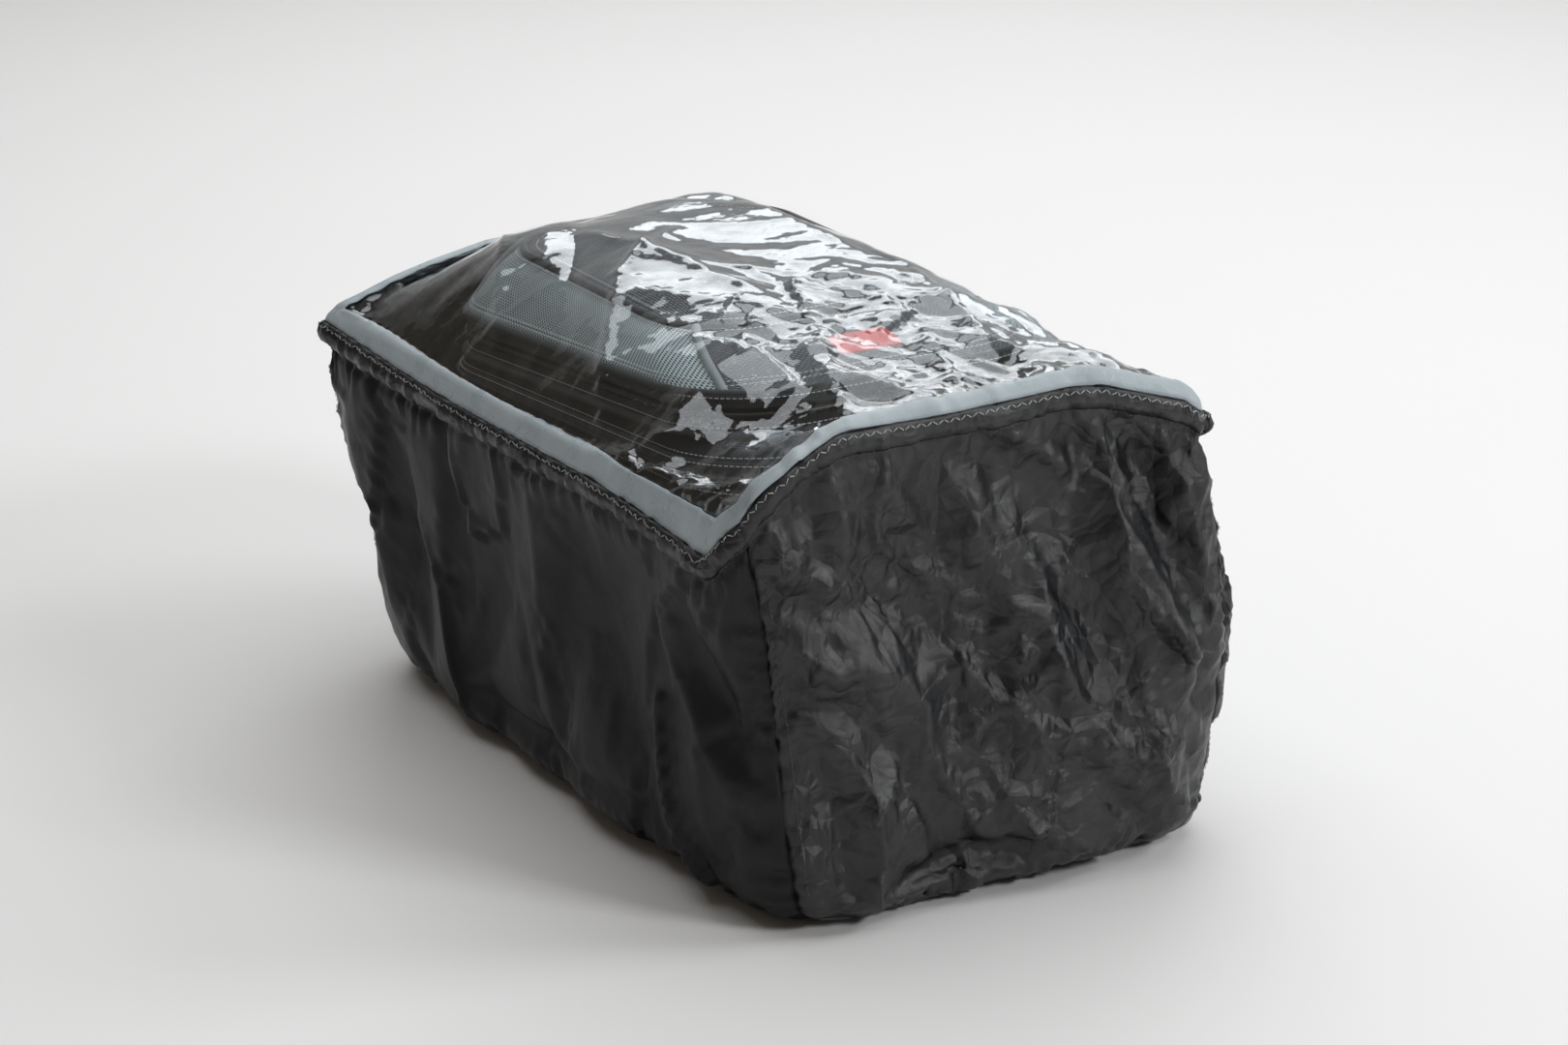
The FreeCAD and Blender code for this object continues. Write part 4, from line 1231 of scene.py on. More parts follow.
        pucker = np.sin(phase * 2 * np.pi) * np.exp(-((fall - 0.016) / 0.011) ** 2) * 0.0010 * gather
        roll = np.exp(-((fall - 0.0065) / 0.0048) ** 2) * 0.0022 * gather
        line = -np.exp(-((fall - 0.0145) / 0.0022) ** 2) * 0.0014
        climb = fine[..., 2] / 0.013 + 1.2 * np.sin(fine[..., 2] / 0.021)
        tuck = np.sin(climb * 2 * np.pi) * np.exp(-(seam / 0.035) ** 2) * 0.0009
        groove = -np.exp(-(seam / 0.006) ** 2) * 0.0016
        foot = np.sin(phase * 1.35 * np.pi) * np.exp(-((fine[..., 2] - 0.006) / 0.010) ** 2) * 0.0011
        free = np.clip((fine[..., 2] - 0.002) / 0.006, 0, 1) * np.clip(fall / 0.002, 0, 1)
        lift = (pucker + roll + line + tuck + groove + foot) * free
        fine = fine + grid_normals(fine, True) * lift[..., None]
        fine[..., 2] = np.maximum(fine[..., 2], self.lowest)
        start = 0
        for name, count in zip(self.names, self.form.perimeter.counts()):
            index = np.arange(start * REFINED, (start + count) * REFINED + 1) % fine.shape[1]
            panel = fine[:, index]
            piece = make_mesh(f"{name}_cloth", panel, grid_faces(*panel.shape[:2]), travel(panel))
            thicken(piece, self.thick)
            # The long sides take the calm, less glossy copy of the nylon as painted shade; front and rear
            # take the glossier lit copy.
            calm_shaded_side = name in ("skirt_left", "skirt_right")
            self.wardrobe.put(piece, "calm_shaded_nylon" if calm_shaded_side else "coated_nylon", COVER, name,
                              slot="coated_nylon")
            start += count
        return fine


# ------------------------------------------------------------------ film window

@dataclass
class Film:
    """The clear film window and the band that welds it to the skirt."""

    form: CoverForm
    wardrobe: Wardrobe
    long: int = 124
    wide: int = 76
    cloth: ClothRun = ClothRun(0.020, 22, 4.0, 30.0, 0.5)
    most: float = 0.0055
    thick: float = 0.0004
    band: float = 0.0105
    band_thick: float = 0.0006
    size: tuple[float, float] = (0.46, 0.27)
    creases: tuple[Crease, ...] = (
        Crease((-0.055, -0.125), (-0.190, -0.050), 0.0030, 0.007, 1.0),
        Crease((-0.020, -0.105), (-0.150, -0.025), -0.0040, 0.010, 0.5),
        Crease((0.062, -0.128), (-0.028, -0.067), 0.0050, 0.007, 1.0),
        Crease((-0.028, -0.067), (-0.080, -0.005), 0.0040, 0.008, 1.0),
        Crease((-0.110, -0.045), (0.030, -0.030), 0.0040, 0.009, 0.9),
        Crease((0.077, -0.017), (0.209, -0.071), 0.0050, 0.009, 0.9),
        Crease((0.209, -0.071), (0.120, -0.100), -0.0050, 0.012, 0.5),
        Crease((0.227, -0.012), (0.130, 0.020), 0.0050, 0.008, 0.9),
        Crease((0.227, -0.012), (0.150, -0.050), 0.0045, 0.008, 0.9),
        Crease((0.209, -0.071), (0.110, -0.040), 0.0045, 0.007, 1.0),
        Crease((0.148, 0.070), (0.227, -0.012), -0.0045, 0.010, 0.5),
        Crease((0.063, 0.061), (0.160, 0.040), 0.0040, 0.008, 0.9),
        Crease((0.087, -0.132), (0.130, -0.105), 0.0040, 0.006, 1.0),
        Crease((0.070, -0.112), (0.125, -0.124), 0.0035, 0.006, 1.0),
        Crease((0.150, -0.130), (0.205, -0.110), -0.0035, 0.008, 0.6),
        Crease((-0.150, 0.060), (0.020, 0.050), 0.0035, 0.010, 0.8),
        Crease((-0.190, 0.020), (-0.060, 0.085), -0.0040, 0.012, 0.6),
        Crease((0.040, 0.100), (0.180, 0.095), 0.0035, 0.010, 0.8),
    )

    def build(self, ring: Array) -> Array:
        """Make the film and its band.

        The film is a patch between the rim's four sides: its plan is the sum of the two ways of
        joining facing sides less the corners' mean, its height the dome's, put right at the rim.

        Args:
            ring: the settled skirt, whose last row is the rim.

        Returns:
            The film's grid, from left to right in rows and from rear to front in columns.
        """
        rim = ring[-1]
        counts = np.cumsum([0] + self.form.perimeter.counts()) * REFINED
        sides = []
        for number, size in enumerate((self.long, self.wide, self.long, self.wide)):
            index = np.arange(counts[number], counts[number + 1] + 1) % len(rim)
            edge = rim[index]
            step = distances(edge)
            sides.append(points_at(np.linspace(0, step[-1], size + 1), step, edge))
        left, front, right, rear = sides[0], sides[1], sides[2][::-1], sides[3][::-1]
        s = np.linspace(0, 1, self.long + 1)[None, :, None]
        t = np.linspace(0, 1, self.wide + 1)[:, None, None]

        def patch(a: Array, b: Array, c: Array, d: Array) -> Array:
            """Join left a, right b, rear c and front d edges."""
            corners = ((1 - s) * (1 - t) * a[0] + s * (1 - t) * a[-1]
                       + (1 - s) * t * b[0] + s * t * b[-1])
            return (1 - t) * a[None] + t * b[None] + (1 - s) * c[:, None] + s * d[:, None] - corners

        plan = patch(left[:, :2], right[:, :2], rear[:, :2], front[:, :2])
        dome = self.form.roof_height(plan)
        edges = [edge[:, 2:] - self.form.roof_height(edge[:, :2])[:, None]
                 for edge in (left, right, rear, front)]
        border = np.minimum(np.minimum(s, 1 - s) * self.size[0], np.minimum(t, 1 - t) * self.size[1])[..., 0]
        mend = patch(*edges)[..., 0] * np.exp(-border / 0.05)
        front_share = np.clip((plan[..., 0] - 0.10) / 0.08, 0, 1)
        roll = (0.0015 + 0.0060 * front_share) * border / 0.016 * np.exp(1 - border / 0.016)
        grid = np.concatenate([plan, (dome + mend + roll)[..., None]], axis=-1)
        rise = sum(crease.rise(plan) for crease in self.creases)
        wavy = ripples(plan, 21, 26, 0.030, 0.100)
        lively = 0.0006 + 0.0015 * np.clip((plan[..., 0] + 0.02) / 0.12, 0, 1)
        free = np.clip((border - 0.008) / 0.022, 0, 1)
        folds = facets(plan, 33, 0.050, 1.8, 0.5) * lively * 1.8
        grid = grid + grid_normals(grid) * ((rise + wavy * lively + folds) * free)[..., None]
        hold = (border < 0.009).astype(float)
        grid = self.cloth.settle(grid, hold, False, self.most)
        fine = refine(grid, REFINED)
        film_plan = fine[..., :2]
        crisp = np.clip((film_plan[..., 0] + 0.04) / 0.14, 0.12, 1)
        tiny = (ripples(film_plan, 5, 22, 0.010, 0.028) * 0.00012
                + facets(film_plan, 57, 0.024, 1.7, 0.4) * crisp * 0.0016
                + facets(film_plan, 87, 0.010, 1.4, 1.3) * crisp * 0.0004)
        fine = fine + grid_normals(fine) * tiny[..., None]
        piece = make_mesh("cover_film", fine, grid_faces(*fine.shape[:2]), travel(fine))
        thicken(piece, self.thick)
        self.wardrobe.put(piece, "clear_film", COVER, "cover_window")
        size = travel(fine)[-1, -1]
        LOG.info("film: flat %.3f by %.3f m", size[0], size[1])
        self.make_band(fine)
        return fine

    def make_band(self, fine: Array) -> None:
        """The frosted band: rings of the film set in step by step from the rim, a little proud.

        Args:
            fine: the film's refined grid.
        """
        rows, columns = fine.shape[:2]
        per_side = (columns - 1, rows - 1)
        across = np.linspace(0, self.band, 7)
        corners = [(0, 0), (0, 1), (1, 1), (1, 0)]
        rings = []
        for inset in across:
            row_in = inset / self.size[1] * (rows - 1)
            column_in = inset / self.size[0] * (columns - 1)
            bounds = ((row_in, rows - 1 - row_in), (column_in, columns - 1 - column_in))
            pieces = []
            for number in range(4):
                (row_a, column_a), (row_b, column_b) = corners[number], corners[(number + 1) % 4]
                share = np.linspace(0, 1, per_side[number % 2], endpoint=False)
                row = bounds[0][row_a] * (1 - share) + bounds[0][row_b] * share
                column = bounds[1][column_a] * (1 - share) + bounds[1][column_b] * share
                pieces.append(np.stack([row, column], axis=-1))
            rings.append(np.concatenate(pieces))
        where = np.array(rings)[::-1]
        points = sample(fine, where[..., 0], where[..., 1])
        normal = sample(grid_normals(fine), where[..., 0], where[..., 1])
        crown = np.sin(np.linspace(0.12, 0.88, len(across)) * np.pi)[:, None, None]
        points = points + normal * (0.0004 + 0.0007 * crown)
        surface = np.stack(np.meshgrid(distances(points[-1]), across), axis=-1)
        faces = grid_faces(*points.shape[:2], True)[:, ::-1]
        piece = make_mesh("weld_band", points[::-1], faces, surface[::-1])
        thicken(piece, self.band_thick)
        self.wardrobe.put(piece, "frosted_weld", COVER, "window_weld_band")


# ------------------------------------------------------------------ cover trim

@dataclass
class CoverTrim:
    """Top hem, stitches, corner tapes and the elastic hem of the rain cover."""

    form: CoverForm
    wardrobe: Wardrobe
    hem_depth: float = 0.0125
    hem_thick: float = 0.0007
    tape_thick: float = 0.0005
    elastic_radius: float = 0.0014
    pitch: float = 0.0032

    def build(self, ring: Array) -> None:
        """Make every piece.

        Args:
            ring: the settled, refined skirt.
        """
        self.make_top_hem(ring)
        self.make_corner_tapes(ring)
        self.make_bottom_hem(ring)

    def make_top_hem(self, ring: Array) -> None:
        """The folded hem: a strip over the skirt's top rows, fuller in the middle, that puckers.

        Args:
            ring: the refined skirt, whose last row is the rim.
        """
        normal = grid_normals(ring, True)
        fall = ring[-1:, :, 2] - ring[..., 2]
        levels = np.linspace(0.0002, self.hem_depth, 11)
        columns = ring.shape[1]
        strip = np.empty((len(levels), columns, 3))
        outward = np.empty_like(strip)
        order = fall[::-1]
        for row, level in enumerate(levels):
            upper = np.argmax(order > level, axis=0)
            upper = np.maximum(upper, 1)
            index = np.arange(columns)
            before, after = order[upper - 1, index], order[upper, index]
            part = ((level - before) / np.maximum(after - before, 1e-6))[:, None]
            top, low = ring[::-1][upper - 1, index], ring[::-1][upper, index]
            strip[row] = top * (1 - part) + low * part
            outward[row] = normal[::-1][upper, index]
        step = distances(ring[-1])
        phase = step / 0.0105 + 1.6 * np.sin(step / 0.037) + 0.8 * np.sin(step / 0.0143)
        share = levels / self.hem_depth
        crown = np.sin(np.clip(share * 0.94 + 0.06, 0, 1) * np.pi) ** 0.6
        side = self.form.perimeter.columns()[0]
        loose = np.repeat(np.where(side % 2 == 0, 1.0, 0.45), REFINED)
        pucker = np.sin(phase * 2 * np.pi)[None, :] * loose * 0.0011
        rise = 0.0006 + crown[:, None] * (0.0009 + 0.0012 * loose + pucker)
        strip = strip + outward * rise[..., None]
        points = strip[::-1]
        surface = np.stack(np.meshgrid(step, levels), axis=-1)[::-1]
        piece = make_mesh("top_hem", points, grid_faces(*points.shape[:2], True), surface)
        thicken(piece, self.hem_thick)
        self.wardrobe.put(piece, "coated_nylon", COVER, "skirt_top_hem")
        for name, row, slant in (("hem_stitches", 2, 0.0016), ("hem_stitches_low", 10, 0.0)):
            path = looped(strip[row] + outward[row] * 0.0003)
            stitches = stitch_row(name, path, looped(outward[row]), self.pitch, 0.0024, 0.0007, slant)
            self.wardrobe.put(stitches, "grey_piping" if slant else "dark_thread", COVER,
                              slot="coated_nylon")

    def make_corner_tapes(self, ring: Array) -> None:
        """Seam tape inside each corner and a row of stitches outside it.

        Args:
            ring: the refined skirt.
        """
        normal = grid_normals(ring, True)
        counts = np.cumsum([0] + self.form.perimeter.counts()[:3]) * REFINED
        rows = np.arange(18, ring.shape[0] - 8)
        strips, uvs, faces, base = [], [], [], 0
        for column in counts:
            across = np.arange(-4, 5)
            index = (column + across) % ring.shape[1]
            strip = ring[rows][:, index] - normal[rows][:, index] * 0.0016
            strips.append(strip.reshape(-1, 3))
            uvs.append(travel(strip).reshape(-1, 2))
            faces.append(grid_faces(len(rows), len(across)) + base)
            base += len(rows) * len(across)
            path = ring[rows, (column + 2) % ring.shape[1]] + normal[rows, column] * 0.0004
            stitches = stitch_row(f"corner_stitches_{column}", path, normal[rows, column],
                                  0.0034, 0.0026, 0.0005)
            self.wardrobe.put(stitches, "dark_thread", COVER, slot="coated_nylon")
        piece = make_mesh("corner_tapes", np.concatenate(strips), np.concatenate(faces), np.concatenate(uvs))
        thicken(piece, self.tape_thick)
        self.wardrobe.put(piece, "seam_tape", COVER, "cover_corner_seams")

    def make_bottom_hem(self, ring: Array) -> None:
        """The casing round the opening: a gathered flat tube, with the elastic in its slit.

        Args:
            ring: the refined skirt, whose first row is the opening.
        """
        rows = 16
        loop = ring[0]
        step = distances(loop)
        turn = np.linspace(0, 2 * np.pi, rows, endpoint=False)[:, None]
        ahead = np.roll(loop, -1, axis=0) - np.roll(loop, 1, axis=0)
        out = np.stack([ahead[:, 1], -ahead[:, 0], np.zeros(len(loop))], axis=-1)
        out = out / np.linalg.norm(out, axis=1, keepdims=True)
        gather = 1 + 0.16 * np.sin(step / 0.0062 * 2 * np.pi + 1.5 * np.sin(step / 0.021))
        middle = loop + out * 0.0042 + np.array([0, 0, 0.0046])
        wide = np.cos(turn) * 0.0040 * np.ones_like(gather)
        high = np.sin(turn) * 0.0024 * gather
        points = middle[None] + out[None] * wide[..., None] + np.array([0, 0, 1.0]) * high[..., None]
        surface = np.stack(np.meshgrid(step, turn[:, 0] * 0.003), axis=-1)
        faces = grid_faces(rows, len(loop), True, True)[:, ::-1]
        piece = make_mesh("hem_casing_cloth", points, faces, surface)
        self.wardrobe.put(piece, "coated_nylon", COVER, "hem_casing")
        braid = tube("hem_elastic_braid", middle[::2], self.elastic_radius, 8, True)
        self.wardrobe.put(braid, "elastic", COVER, "hem_elastic")


# ------------------------------------------------------------------ the bag

@dataclass(frozen=True)
class Loop:
    """A rounded rectangle at a place, tipped up towards +X."""

    length: float
    width: float
    corner: float
    middle: tuple[float, float, float]
    tilt: float = 0.0

    def points(self, grow: Array | float = 0.0, lift: Array | float = 0.0) -> Array:
        """Points of the loop, grown outwards and lifted square to its plane.

        Args:
            grow: distance outwards, one number or one for each point.
            lift: distance along the plane's normal.

        Returns:
            One point for each column, counted from the rear left corner's middle.
        """
        grow = np.broadcast_to(np.asarray(grow, float), BAG_PERIMETER.columns()[0].shape)
        radius = np.maximum(self.corner + grow, 0.002)
        plan = BAG_PERIMETER.place(self.length / 2 + grow, self.width / 2 + grow,
                                   np.repeat(radius[:, None], 4, axis=1))
        cosine, sine = math.cos(self.tilt), math.sin(self.tilt)
        x = plan[:, 0] * cosine - lift * sine
        z = plan[:, 0] * sine + lift * cosine
        return np.stack([x, plan[:, 1], z], axis=-1) + np.array(self.middle)


BAG_PERIMETER = Perimeter(14, 76, 40)
ZIP_TILT = math.radians(5.2)
ZIP_HALF = 0.1585
ZIP_LINE = Loop(0.317, 0.214, 0.058, (-0.0275, 0.008, 0.226 - ZIP_HALF * math.tan(ZIP_TILT)), ZIP_TILT)
BASE_LINE = Loop(0.404, 0.210, 0.044, (0.004, 0.008, 0.007))
BELLY_LINE = Loop(0.408, 0.214, 0.050, (0.004, 0.008, 0.125))
CROWN_LINE = Loop(0.208, 0.160, 0.040, (-0.056, 0.012, 0.252))
CAP_LINE = Loop(0.138, 0.080, 0.034, (-0.056, 0.012, 0.264))


def flow(loops: Sequence[Array], places: Sequence[float], where: Array, soft: float = 0.0) -> Array:
    """Rows of points between loops.

    Args:
        loops: loops that match column for column, lowest first.
        places: each loop's place between 0 and 1.
        where: places of the wanted rows.
        soft: 0 for straight runs between loops, 1 for cubic curves through them.

    Returns:
        One row of points for each wanted place.
    """
    stack = np.array(loops)
    knots = np.array(places)
    flat = stack.reshape(len(loops), -1)
    straight = np.stack([np.interp(where, knots, column) for column in flat.T], axis=1)
    curved = cubic(where, knots, flat)
    return (straight * (1 - soft) + curved * soft).reshape(len(where), *stack.shape[1:])


def corner_fade(reach: float) -> Array:
    """From 0 at a corner's middle to 1 at a share of the side away from it, for each column."""
    share = BAG_PERIMETER.columns()[3]
    return np.clip(np.minimum(share, 1 - share) / reach, 0, 1)


def zip_columns(half_width: float, rear: bool) -> Array:
    """Columns of the zip line in the hinge flap's gap at the rear, or outside it.

    Args:
        half_width: half the gap's width.
        rear: True for the columns in the gap, False for the rest.

    Returns:
        True or False for each column.
    """
    line = ZIP_LINE.points()
    inside = (np.abs(line[:, 1] - 0.008) <= half_width) & (line[:, 0] < -0.15)
    return inside if rear else ~inside


@dataclass
class Walls:
    """The padded walls, their lining, piping and zips."""

    wardrobe: Wardrobe
    body: str = "bag"
    thick: float = 0.006
    lining_gap: float = 0.0068
    lining_thick: float = 0.0006
    tape_thick: float = 0.0012
    piping_radius: float = 0.0024
    levels: tuple[float, float, float] = (0.0, 0.52, 1.0)
    rounding: float = 0.35
    stitch: tuple[float, float, float] = (0.0031, 0.0022, 0.0006)

    def lines(self, grow: float) -> list[Array]:
        """Base, belly and zip loops, grown by a distance."""
        return [BASE_LINE.points(grow), BELLY_LINE.points(grow), ZIP_LINE.points(grow)]

    def outside(self, where: Array, grow: float = 0.0) -> Array:
        """The outer face: straight from base to belly to zip line, a little rounded between."""
        return flow(self.lines(grow), self.levels, where, self.rounding)

    def build(self) -> None:
        """Make every piece of the walls."""
        self.make_shell()
        self.make_lining()
        self.make_piping()
        self.make_expansion_zip()
        self.make_lower_tape()
        self.make_teeth()
        self.make_seams()

    def put(self, piece: bpy.types.Object, finish: str, *nodes: str) -> bpy.types.Object:
        """Dress a piece, let it ride on this body and stand for its CAD nodes."""
        return self.wardrobe.put(piece, finish, self.body, *nodes)

    def sew(self, name: str, path: Array, outward: Array) -> None:
        """A row of the bag's pale stitches along a path, with the cloth's normals."""
        self.put(stitch_row(name, path, outward, *self.stitch), "thread")

    def make_shell(self) -> None:
        """One closed surface: floor, outer face, top edge, inner face and inner floor."""
        where = np.linspace(0, 1, 64)
        outer = self.outside(where)
        side = BAG_PERIMETER.columns()[0]
        puff = np.sin(where * np.pi)[:, None] ** 0.7 * corner_fade(0.12) ** 0.7 * 0.0022
        slack = ripples(unrolled(outer, side) + side[:, None] * 1.7, 31, 20, 0.045, 0.160) * 0.0011
        fade = np.sin(where * np.pi)[:, None] ** 0.4
        outer = outer + grid_normals(outer, True) * ((puff + slack) * fade)[..., None]
        inner = flow([BASE_LINE.points(-self.thick, 0.005), BELLY_LINE.points(-self.thick),
                      ZIP_LINE.points(-self.thick)], self.levels, where[::-1], self.rounding)
        edge = (outer[-1] + inner[0]) / 2 + np.array([0, 0, 0.0008])
        floors = [np.stack([loop * share_in + (1 - share_in) * loop.mean(axis=0)
                            for share_in in (0.02, 0.35, 0.7, 0.93)]) for loop in (outer[0], inner[-1])]
        points = np.concatenate([floors[0], outer, edge[None], inner, floors[1][::-1]])
        piece = make_mesh("padded_walls", points, closed_faces(points), travel(points))
        self.put(piece, "black_nylon", "wall_shell")

    def make_lining(self) -> None:
        """The thin lining inside the walls, a little slack."""
        where = np.linspace(0, 1, 40)
        rows = flow([BASE_LINE.points(-self.lining_gap, 0.0058), BELLY_LINE.points(-self.lining_gap),
                     ZIP_LINE.points(-self.lining_gap, -0.0015)], self.levels, where, self.rounding)
        flat = np.stack([rows[..., 0] + rows[..., 1], rows[..., 2]], axis=-1)
        slack = (ripples(flat, 41, 18, 0.03, 0.12) - 1.2) * 0.0006 * np.sin(where * np.pi)[:, None]
        rows = rows + grid_normals(rows, True) * slack[..., None]
        floor = np.stack([rows[0] * share + (1 - share) * rows[0].mean(axis=0) for share in (0.02, 0.4, 0.8)])
        points = np.concatenate([floor, rows])
        piece = make_mesh("bag_lining", points, closed_faces(points, last=False), travel(points))
        thicken(piece, self.lining_thick)
        self.put(piece, "grey_lining", "lining")

    def make_piping(self) -> None:
        """Fabric covered cord just under the zip line."""
        path = ZIP_LINE.points(self.piping_radius * 0.5, -0.003)
        self.put(tube("wall_piping_cord", path, self.piping_radius, 12, True), "black_piping", "wall_piping")

    def make_expansion_zip(self) -> None:
        """The expansion zip below the main one: tape with rounded edges, coil and stitches."""
        levels = (0.0 - np.array([0.029, 0.013])) / 0.101
        where = 1 + np.linspace(levels[0], levels[1], 9) * 0.48
        rows = self.outside(where, 0.0026)
        crown = np.sin(np.linspace(0.05, 0.95, 9) * np.pi)[:, None] ** 0.5 * 0.0007
        rows = rows + grid_normals(rows, True) * crown[..., None]
        piece = make_mesh("expansion_tape", rows, grid_faces(*rows.shape[:2], True), travel(rows))
        thicken(piece, self.tape_thick)
        self.put(piece, "zip_tape", "expansion_zip_tape")
        self.coil("expansion_coil", rows[4] + grid_normals(rows, True)[4] * 0.0006, "expansion_zip_teeth")
        for number, row in enumerate((1, 7)):
            outward = grid_normals(rows, True)[row]
            self.sew(f"expansion_stitches_{number}", looped(rows[row] + outward * 0.0002), looped(outward))

    def coil(self, name: str, line: Array, node: str, closed: bool = True) -> None:
        """A nylon coil: a ribbed cord whose radius swells once for each tooth.

        Args:
            name: the piece's name.
            line: points along the coil.
            node: the CAD node that it stands for.
            closed: whether the line closes on itself.
        """
        step = distances(line)
        length = step[-1] + (np.linalg.norm(line[0] - line[-1]) if closed else 0.0)
        count = int(length / 0.0011)
        even = np.linspace(0, length, count, endpoint=not closed)
        reach = np.concatenate([step, [length]]) if closed else step
        path = points_at(even, reach, looped(line) if closed else line)
        radius = np.where(np.arange(count) % 2 == 0, 0.0019, 0.0013)
        self.put(tube(name, path, radius, 8, closed), "zip_teeth", node)

    def zip_run(self, keep: Array, grow: float, level: float) -> Array:
        """The unbroken run of kept columns of the zip line, grown and lifted."""
        first = int(np.argmax(keep & ~np.roll(keep, 1)))
        return np.roll(ZIP_LINE.points(grow, level), -first, axis=0)[: int(keep.sum())]

    def make_teeth(self) -> None:
        """The main zip's closed coil, which stops short of the hinge flap."""
        self.coil("main_zip_coil", self.zip_run(zip_columns(0.050, False), 0.0004, 0.0075),
                  "main_zip_teeth", False)

    def band(self, name: str, low: float, high: float, grow: float, finish: str, node: str,
             open_rear: bool, thick: float = 0.001) -> Array:
        """A flat band along the zip line between two levels.

        Args:
            name: the piece's name.
            low: lower level over the zip line's plane.
            high: upper level.
            grow: distance outwards from the zip line.
            finish: the name of its finish.
            node: the CAD node that it stands for.
            open_rear: True for a band that stops at the hinge flap, False for the flap's own run.
            thick: its thickness.

        Returns:
            Its rows of points, lowest first.
        """
        keep = zip_columns(0.050, False) if open_rear else zip_columns(0.049, True)
        rows = np.array([self.zip_run(keep, grow, level) for level in np.linspace(low, high, 7)])
        piece = make_mesh(name, rows, grid_faces(*rows.shape[:2]), travel(rows))
        thicken(piece, thick)
        self.put(piece, finish, node)
        return rows

    def make_lower_tape(self) -> None:
        """The lower half of the main zip's tape, with its stitches."""
        rows = self.band("main_tape_low", 0.0, 0.006, 0.0, "zip_tape", "main_zip_lower_tape", True)
        outward = grid_normals(rows)[2]
        self.sew("main_stitches_low", rows[1] + outward * 0.0002, outward)

    def make_seams(self) -> None:
        """Double rows of stitches just below the piping and above the base."""
        for number, (place, grow) in enumerate(((0.945, 0.0030), (0.925, 0.0031), (0.045, 0.0016))):
            rows = self.outside(np.array([place - 0.01, place, place + 0.01]), grow - 0.0012)
            outward = grid_normals(rows, True)[1]
            self.sew(f"wall_stitches_{number}", looped(rows[1]), looped(outward))


